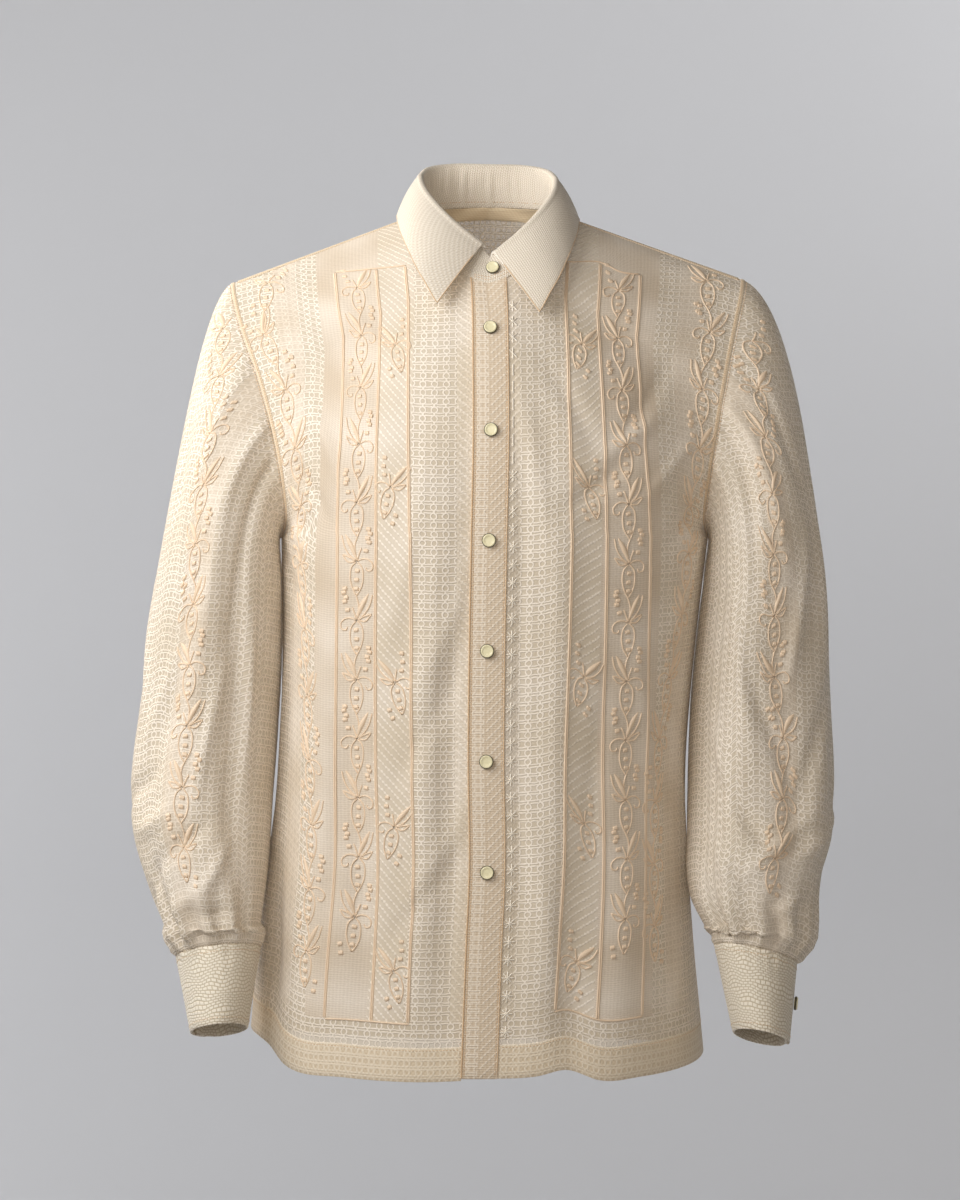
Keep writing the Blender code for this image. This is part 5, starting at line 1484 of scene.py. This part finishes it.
def vine(line, pitch, mirror):
    """A vine down a line of points (up, across) in millimetres, from its top to its foot."""
    ups, acrosses = np.array(line[::-1], dtype=float).T
    shapes = []
    for up in np.arange(ups[-1], ups[0] + POD, -pitch):
        across, below = (float(smooth(max(place, ups[0]), ups, acrosses)) for place in (up, up - pitch))
        stretch = vine_stretch(mirror, pitch / STRETCH, up - pitch - POD > ups[0])
        shapes += place_stretch(stretch, (across, up), -np.arctan2(across - below, pitch))
        mirror = -mirror
    return shapes


# %% [markdown]
# ### Where the vines run
# Each front carries a tall frame of two columns, edged with cord. A vine fills the outer column, and
# single sprigs stand in the inner one. A second vine follows the armhole and then falls straight, and
# another runs down the front of each sleeve.

# %% The plan of the embroidery
FRAME = {  # across in mm, and heights up the cloth
    -1: {"inner": (76, 68, 64), "middle": (104, 101, 98), "outer": (145, 138, 142), "top": 742, "foot": 50},
    1: {"inner": (72, 74, 66), "middle": (104, 108, 106), "outer": (144, 152, 151), "top": 742, "foot": 52},
}
ARMHOLE_VINE = {
    -1: ((712, 212), (655, 222), (590, 203), (528, 194), (440, 188), (377, 180), (274, 170), (168, 166), (60, 166)),
    1: (
        (735, 210), (665, 219), (598, 214), (545, 210), (455, 200),
        (395, 192), (327, 178), (278, 168), (199, 164), (70, 168)
    ),
}
SLEEVE_VINE = {
    -1: ((592, 34), (470, 84), (383, 94), (304, 96), (228, 103), (157, 106), (94, 104), (14, 98)),
    1: ((583, 46), (494, 84), (357, 112), (284, 111), (235, 108), (189, 98), (116, 104), (14, 107)),
}
SPRIGS = ((655, 1), (522, -1), (350, 1), (222, -1), (96, 1))  # up the cloth, and mirrored or not
WOVEN_CORD, WOVEN_CORD_HEIGHT = 1.7, 1.1


def frame_cords(side):
    """The cords round the two columns of a front: a pair down each edge, and one across each end."""
    plan = FRAME[side]
    top, foot = plan["top"], plan["foot"]
    edges = [plan[name] for name in ("inner", "middle", "outer")]
    cords = []
    for high, middle, low in edges:
        upper, lower = (high + middle) / 2 - 0.5, (middle + low) / 2
        line = [(high, top), (upper, top - 170), (middle, 420), (lower, 230), (low, foot)]
        cords += [(line, 1.0), ([(across + 1.5, up) for across, up in line], 0.9)]
    for k, up in ((0, top), (2, foot)):
        cords.append((((edges[0][k] - 1, up), (edges[1][k], up + 0.6), (edges[2][k] + 1, up)), 1.0))
    return [ridge(line, WOVEN_CORD, WOVEN_CORD_HEIGHT * share, 3.0) for line, share in cords]


def sprigs(side):
    """Single sprigs in the inner column, leaning a little."""
    plan = FRAME[side]
    shapes = []
    for up, mirror in SPRIGS:
        share = (up - plan["foot"]) / (plan["top"] - plan["foot"])
        edges = [np.interp(share, (0, 0.5, 1), plan[name][::-1]) for name in ("inner", "middle")]
        place = (sum(edges) / 2 - mirror * 1.5, up)
        shapes += place_stretch(vine_stretch(mirror, 0.95, False), place, radians(-14 * mirror))
    return shapes


STAR_ARM, STAR_PITCH = 6.0, 15.8  # mm


def stars(across):
    """A column of little stars of crossed threads beside the band."""
    shapes = []
    for up in np.arange(40, 700, STAR_PITCH):
        for lean in np.radians((0, 45, 90, 135)):
            reach = np.array((cos(lean), sin(lean))) * STAR_ARM
            shapes.append(ridge([(across, up) + reach * k for k in (-1, 0, 1)], 1.3, 1.0, 1.2, 5))
    return shapes


def column_line(side):
    """The middle of a front's outer column, from its top to its foot."""
    plan = FRAME[side]
    high, middle, low = np.mean((plan["middle"], plan["outer"]), axis=0)
    return (plan["top"] - 24, high), (420, middle), (plan["foot"] + 8, low)


def embroidered(name, cloth, shapes, material=thread):
    """One mesh of all the ridges on a panel. A ridge that would reach past its edge is left out."""
    flat = np.concatenate([places.reshape(-1, 3) for places, _, _ in shapes]) / 1000
    laid, off = lay(cloth, flat)
    patches, start = [], 0
    for places, along, round_ in shapes:
        count = places.shape[0] * places.shape[1]
        if off[start : start + count].max() < 0.0002:
            grid = laid[start : start + count].reshape(places.shape)
            patches.append((grid, along / 1000, round_ / 1000))
        start += count
    piece = trim(name, patches, material, 80)
    triangles = sum(len(face.vertices) - 2 for face in piece.data.polygons)
    print(f"{name}: {len(patches)} ridges, {triangles} triangles")
    return piece


embroidery = {}
for side in (-1, 1):
    front = body[side, -1]
    cloth = cloth_map(front["points"], front["out"], front["across"], front["up"])
    shapes = frame_cords(side) + sprigs(side) + vine(column_line(side), 52.5, side)
    shapes += vine(ARMHOLE_VINE[side], 55.0, -side)
    if side > 0:
        embroidery["stars"] = embroidered("embroidery_stars", cloth, stars(22.0), bright_thread)
    name = "front_" + SIDE_NAMES[side]
    embroidery[name] = embroidered("embroidery_" + name, cloth, shapes)
    tube = sleeves[side]
    across = np.broadcast_to(tube["across"][:-1], tube["up"].shape)
    half = SLEEVE_POINTS // 2
    part = (slice(None), slice(0, half))
    cloth = cloth_map(tube["points"][part], tube["out"][part], across[part], tube["up"][part])
    name = "sleeve_" + SIDE_NAMES[side]
    embroidery[name] = embroidered("embroidery_" + name, cloth, vine(SLEEVE_VINE[side], 55.0, side))

# %% [markdown]
# ## Seams, hem and stitches
# A sheer shirt shows how it is put together. At the armholes, sides and shoulders the two edges are
# folded into each other and stitched down flat, which makes a narrow doubled band: a felled seam. The
# hem is turned up twice. The threads themselves are short soft ridges a hair's width high, so each one
# is a tiny mesh that follows its line. Painted stitches would vanish from the side.

# %% Strips along an edge


def inward(points, out, distances):
    """A strip that starts at the first column of a grid: its points and outs at distances along the rows."""
    along = lengths(points, 1)
    return [np.array([between(distances, *row) for row in zip(along, grid)]) for grid in (points, out)]


def strip_patches(points, out, outer, inner):
    """A strip of doubled cloth, from a level outside the net to one inside it."""
    middle = points - out * CLOTH / 2
    return wall_patches(middle + out * outer, middle + out * inner, points)


HEM_DEPTH = 0.029
NECK_TAPE = 0.0135  # the width of the tape inside the neck
FELLED = 0.0032  # the width of a felled seam
FELLED_RISE = 0.0006  # and how far it stands out of the cloth
trims = {}

# Where each seam's strip starts, as a way to turn a panel's grid so that its first column is the seam.
SEAM_GRIDS = {
    "armhole": lambda grid: grid[ROWS_BELOW:, ::-1],
    "side": lambda grid: grid[3 : ROWS_BELOW + 1, ::-1],
    "shoulder": lambda grid: grid[::-1, 1:-3].swapaxes(0, 1),
}
for (side, face), part in body.items():
    grids = part["points"], part["out"]
    name = ("hem_front_" if face < 0 else "hem_back_") + SIDE_NAMES[side]
    strip = inward(*(grid.swapaxes(0, 1) for grid in grids), np.linspace(0, HEM_DEPTH, 5))
    patches = strip_patches(*(grid.swapaxes(0, 1) for grid in strip), 0.0004, -0.0004)
    trims[name] = trim(name, patches, hem_net)
    for seam, turn in SEAM_GRIDS.items() if face < 0 else ():
        name = f"seam_{seam}_{SIDE_NAMES[side]}"
        strip = inward(*map(turn, grids), np.linspace(0, FELLED, 4))
        trims[name] = trim(name, strip_patches(*strip, FELLED_RISE, -0.0001), seam_net)
print("felled seams and hems:", ", ".join(trims))

# %% Stitches and cords


def welt(line, out, width, height, sides=6):
    """A soft ridge along a line in space, as a patch."""
    beside = unit(np.cross(np.gradient(line, axis=0), out))
    ends = np.ones((len(line), 1))
    ends[[0, -1]] = 0.05
    turns = np.linspace(0, 2 * pi, sides, endpoint=False)
    rise = np.where(np.sin(turns) > -0.01, np.sin(turns), 0.4 * np.sin(turns))
    wide, high = np.cos(turns) * width / 2 * ends, rise * height * ends
    points = line[:, None] + beside[:, None] * wide[..., None] + out[:, None] * high[..., None]
    v = np.linspace(0, 2 * width, sides + 1)[None, :]
    return points, np.broadcast_to(lengths(line)[:, None], (len(line), sides + 1)), v


STITCH_PITCH, STITCH_LENGTH = 0.0030, 0.0023  # metres


def stitches(line, out, lift=0.0):
    """A row of single stitches along a line."""
    along = lengths(line)
    patches = []
    for start in np.arange(STITCH_PITCH, along[-1] - STITCH_PITCH, STITCH_PITCH):
        places = start + np.linspace(0, STITCH_LENGTH, 4)
        middle, up = (between(places, along, grid) for grid in (line, out))
        patches.append(welt(middle + up * lift, up, 0.0007, 0.00045, 4))
    return patches


def twisted(line, out, radius, pitch):
    """Two thin cords laid round each other along a line."""
    along = lengths(line)
    places = np.arange(0, along[-1], pitch / 6)
    middle, up = (between(places, along, grid) for grid in (line, out))
    beside = unit(np.cross(np.gradient(middle, axis=0), up))
    patches = []
    for start in (0, pi):
        turn = (places / pitch * 2 * pi + start)[:, None]
        strand = middle + beside * np.cos(turn) * radius + up * (np.sin(turn) + 0.6) * radius
        patches.append(welt(strand, up, radius * 1.7, radius * 0.85, 5))
    return patches


def column_at(grid, share):
    """A line down a grid, at a share of the way along its rows."""
    place = share * (grid.shape[1] - 1)
    k = min(int(place), grid.shape[1] - 2)
    return grid[:, k] * (k + 1 - place) + grid[:, k + 1] * (place - k)


def row_at(grid, share):
    return column_at(grid.swapaxes(0, 1), share)


def row_stitches(grids, share, part=slice(None)):
    """Stitches along a part of a row of a grid and its outs."""
    return stitches(*(row_at(grid, share)[part] for grid in grids))


sewn = {"band": [], "collar": [], "cuffs": [], "hem": [], "seams": []}
for share in (0.085, 0.93):
    sewn["band"] += stitches(column_at(placket, share), column_at(band_out, share))
for share in (0.12, 0.24):
    sewn["collar"] += row_stitches((stand, stand_out), share, slice(60))
sewn["collar"] += row_stitches((stand - stand_out * FIRM_CLOTH, -stand_out), 0.13)
for side in (-1, 1):
    for share in (0.07, 0.93):
        sewn["cuffs"] += row_stitches(cuffs[side], share, slice(-14))
    tube = sleeves[side]
    ring = (np.append(grid[1], grid[1][:1], axis=0) for grid in (tube["points"], tube["out"]))
    sewn["seams"] += stitches(*ring, -0.0003)
for (side, face), part in body.items():
    grids = part["points"], part["out"]
    strip = inward(*(grid.swapaxes(0, 1) for grid in grids), (0.0, HEM_DEPTH - 0.002))
    sewn["hem"] += stitches(*(grid[:, 1] for grid in strip), -0.0001)
    if face < 0:
        strip = inward(*map(SEAM_GRIDS["armhole"], grids), (0.0, FELLED - 0.0012))
        sewn["seams"] += stitches(*(grid[:, 1] for grid in strip))
for name, patches in sewn.items():
    trim("stitches_" + name, patches, sewing_thread)
    print(f"stitches on the {name}: {len(patches)}")

# %% [markdown]
# ### Edges with cord
# A fine twisted cord is sewn along the band's free edge. The collar's edge is a thin light tan line where
# its two layers are sewn together and turned. The cords are in tan sewing thread, darker than the cloth
# beside them: partly the cords' own colour, partly painted shadow lines along these edges.

# %% Cords on edges
rope = twisted(column_at(placket, 0.015), column_at(band_out, 0.015), 0.0005, 0.0042)
rope += [welt(column_at(placket, 0.985), column_at(band_out, 0.985), 0.0008, 0.0005)]
# The band's cords in tan sewing thread also paint the shadow lines along its edges.
trim("cord_band", rope, sewing_thread)
edge, out = (np.concatenate((grid[10:, 0], grid[-1, 1:-1], grid[:9:-1, -1])) for grid in (leaf, leaf_out))
# The collar's tan cord also paints the shade along its edge.
trim("cord_collar", [welt(edge + out * 0.0006, out, 0.0010, 0.0008)], sewing_thread)

# The strip inside the back of the neck, under the stand's foot.
tree = BVHTree.FromObject(panels["back"], bpy.context.evaluated_depsgraph_get())
rows = []
for drop in np.linspace(0.0005, NECK_TAPE, 5):
    row = []
    for angle in np.radians(np.linspace(112, 248, 60)):
        place = neck_point(pi - abs(angle - pi)) * (np.sign(pi - angle), 1, 1) + (0, drop * 0.25, -drop)
        spot, normal, *_ = tree.find_nearest(place)
        row.append([*spot, *normal])
    rows.append(row)
rows = np.array(rows)
rows, ways = rows[..., :3], rows[..., 3:] * np.where(rows[..., 4:5] > 0, -1.0, 1.0)
trim("neck_tape", wall_patches(rows + ways * 0.0009, rows + ways * 0.0003, rows), tape)

# %% [markdown]
# ## Buttons
# The solids of the buttons have the right shape and stay. Over each lies a thin turned cap of pale
# shell, and a turned dark olive foot whose ring shows round the cap's edge. Turning means one profile, swept round
# an axis; the axis is the direction in which the button is thinnest.

# %% Caps and feet
TURNS = np.linspace(0, 2 * pi, 41)[:-1]
CAP = (  # as shares of the button's radius, and metres above its top
    (0, -0.0004), (0, 0.0002), (0.45, 0.00015), (0.70, 0.0003),
    (0.84, 0.0008), (0.92, 0.0007), (0.98, 0.0001), (0.97, -0.0005)
)
UNDER_CAP = ((0.9, -0.0004), (1.06, -0.0003), (1.10, -0.0009))


def turned(middle, axis, profile):
    """A patch from a profile of (radius, height) pairs swept round an axis."""
    first = unit(np.cross(axis, (0.3, 0.2, 1.0)))
    second = np.cross(axis, first)
    rim_ = first * np.cos(TURNS)[:, None] + second * np.sin(TURNS)[:, None]
    points = np.array([middle + axis * height + rim_ * radius for radius, height in profile])
    u = np.broadcast_to(np.append(TURNS, 2 * pi) * 0.005, (len(profile), len(TURNS) + 1))
    return points, u, np.broadcast_to(np.linspace(0, 0.006, len(profile))[:, None], u.shape)


buttons = {}
for node in [name for name in frame["nodes"] if name.startswith("button_") and name != "button_stand"]:
    points = np.array([vertex.co for vertex in bpy.data.objects[node].data.vertices])
    middle = (points.min(axis=0) + points.max(axis=0)) / 2
    axis = np.linalg.svd(points - points.mean(axis=0), full_matrices=False)[2][2]
    away = np.array((0, -1.0, 0))
    if "cuff" in node:
        away = middle - np.mean([vertex.co for vertex in panels[node[7:]].data.vertices], axis=0)
    axis = axis * np.sign(axis @ away)
    heights = (points - middle) @ axis
    radius = np.linalg.norm(points - middle - heights[:, None] * axis, axis=1).max()
    top, foot = heights.max(), heights.min()
    under_cap = [*UNDER_CAP, (1.04, foot - top + 0.0006), (0.9, foot - top + 0.0004)]
    for word, profile, material in (("cap_", CAP, shell), ("foot_", under_cap, dark_olive_foot)):
        profile = [(share * radius + (0.00002 if share == 0 else 0), top + height) for share, height in profile]
        buttons[word + node] = trim(word + node, [turned(middle, axis, profile)], material)
print(len(buttons), "turned pieces,", f"{2000 * radius:.1f} mm across")

# %% [markdown]
# ## How large each cloth was cut
# Every cloth piece has the size of its flat cut listed, as far as it shows: the width and length of
# the cloth it takes, and the area that is left after cutting. A wall counts once, though two layers are
# sewn together. Hems, felled seams and embroidery go with the panel that they are sewn to; the sizes are printed.

# %% Flat sizes
FLAT = {  # width, length and area in metres, how it is held, and what holds it
    "front_right": (0.285, 0.830, 0.184, "hung", ["collar_stand"]),
    "front_left": (0.285, 0.830, 0.184, "hung", ["collar_stand"]),
    "back": (0.570, 0.860, 0.395, "hung", ["collar_stand"]),
    "sleeve_right": (0.470, 0.650, 0.235, "gathered", ["front_right", "cuff_right"]),
    "sleeve_left": (0.470, 0.660, 0.238, "gathered", ["front_left", "cuff_left"]),
    "placket": (0.034, 0.720, 0.0240, "laid", ["front_left"]),
    "button_stand": (0.033, 0.720, 0.0230, "laid", ["front_right"]),
    "collar_stand": (0.510, 0.046, 0.0170, "stretched", ["back"]),
    "collar_leaf": (0.552, 0.083, 0.0274, "stretched", ["collar_stand"]),
    "cuff_right": (0.284, 0.071, 0.0192, "stretched", ["sleeve_right"]),
    "cuff_left": (0.286, 0.074, 0.0202, "stretched", ["sleeve_left"]),
}
for name, (width, length, area, held, holders) in FLAT.items():
    on_it = [piece for key, piece in {**trims, **embroidery}.items() if key.startswith("hem_" + name)]
    if name in embroidery:
        on_it.append(embroidery[name])
    if name.startswith("front"):
        on_it += [trims[f"seam_{seam}_{name[6:]}"] for seam in ("armhole", "side", "shoulder")]
    if name == "front_left":
        on_it.append(embroidery["stars"])
    print(f"{name}: cut {width * 100:.0f} by {length * 100:.0f} cm, {area * 1e4:.0f} square cm, {held}")

# %% [markdown]
# ## The studio
# A plain pale floor runs up into a backdrop all round, so every side can be looked at. One soft light
# stands close by on the left, so the left side is bright and the right side falls into shade. Weak wide
# lights keep the shade open, and one behind the shirt makes the net glow a little. Three more lights are
# for the paper alone.

# %% Floor, backdrop and camera
paper, _, _ = new_material("matt_grey_paper", "#CDCED1", 0.9)
FLOOR = -1.85
ROOM = 4.6  # metres from the shirt to the paper, all round
BEND = 0.9  # metres, the radius of the sweep from floor to wall
bend = [(ROOM - BEND + BEND * sin(t), FLOOR + BEND * (1 - cos(t))) for t in np.linspace(0, pi / 2, 16)]
profile = [(0.0, FLOOR), *bend, (ROOM, 4.5)]
rows = np.array([[(r * cos(a), r * sin(a), z) for a in np.linspace(0, 2 * pi, 97)] for r, z in profile])
backdrop = piece_from("paper_sweep", [(rows, rows[..., 0], rows[..., 2])], paper)

MM_PER_PIXEL = 0.92  # at the shirt's middle
CAMERA_PLACE = (-0.0074, -3.0, -0.345)
camera_data = bpy.data.cameras.new("front_camera")
camera_data.sensor_fit = "VERTICAL"
camera_data.sensor_height = 36.0
camera_data.lens = 36.0 * 3000 / (1200 * MM_PER_PIXEL)
camera = bpy.data.objects.new("front_camera", camera_data)
camera.location = CAMERA_PLACE
camera.rotation_euler = (pi / 2, 0, 0)
bpy.context.scene.collection.objects.link(camera)
bpy.context.scene.camera = camera

# %% Lights
world = bpy.data.worlds.new("studio_air")
world.use_nodes = True
air = world.node_tree.nodes["Background"].inputs
air["Color"].default_value, air["Strength"].default_value = (1.0, 0.92, 0.82, 1), 0.08
bpy.context.scene.world = world
bpy.context.scene.view_settings.view_transform = "Standard"  # colours come out as they were given


def soft_light(name, place, target, size, power, colour=(1.0, 1.0, 1.0)):
    """An area light that faces a target."""
    data = bpy.data.lights.new(name, "AREA")
    data.shape = "RECTANGLE"
    data.size, data.size_y = size
    data.energy, data.color = power, colour
    light = bpy.data.objects.new(name, data)
    light.location = place
    light.rotation_euler = (Vector(target) - light.location).to_track_quat("-Z", "Y").to_euler()
    light.visible_camera = False
    bpy.context.scene.collection.objects.link(light)


WARM = (1.0, 0.90, 0.78)
soft_light("key_light", (-0.85, -0.77, 0.24), (0, 0, -0.25), (0.9, 0.9), 15.5)
soft_light("front_fill", (0.0, -3.2, 0.4), (0, 0, -0.3), (1.6, 1.6), 20, WARM)
soft_light("side_fill", (2.4, -2.4, 0.0), (0, 0, -0.3), (1.6, 1.6), 5.5, WARM)
soft_light("glow_from_behind", (-1.5, 1.0, 0.9), (0, 0, -0.3), (0.8, 0.8), 30, WARM)
soft_light("paper_light_low", (-2.9, 2.3, -0.28), (-0.7, 4.5, -0.7), (0.7, 2.9), 58)
soft_light("paper_light_high", (2.3, 2.9, 1.5), (0.9, 4.5, 1.05), (0.9, 0.9), 22)
soft_light("paper_light_middle", (0.3, 2.4, 1.6), (0.15, 4.5, 0.45), (2.2, 0.6), 13)
print("camera", round(camera_data.lens, 1), "mm")
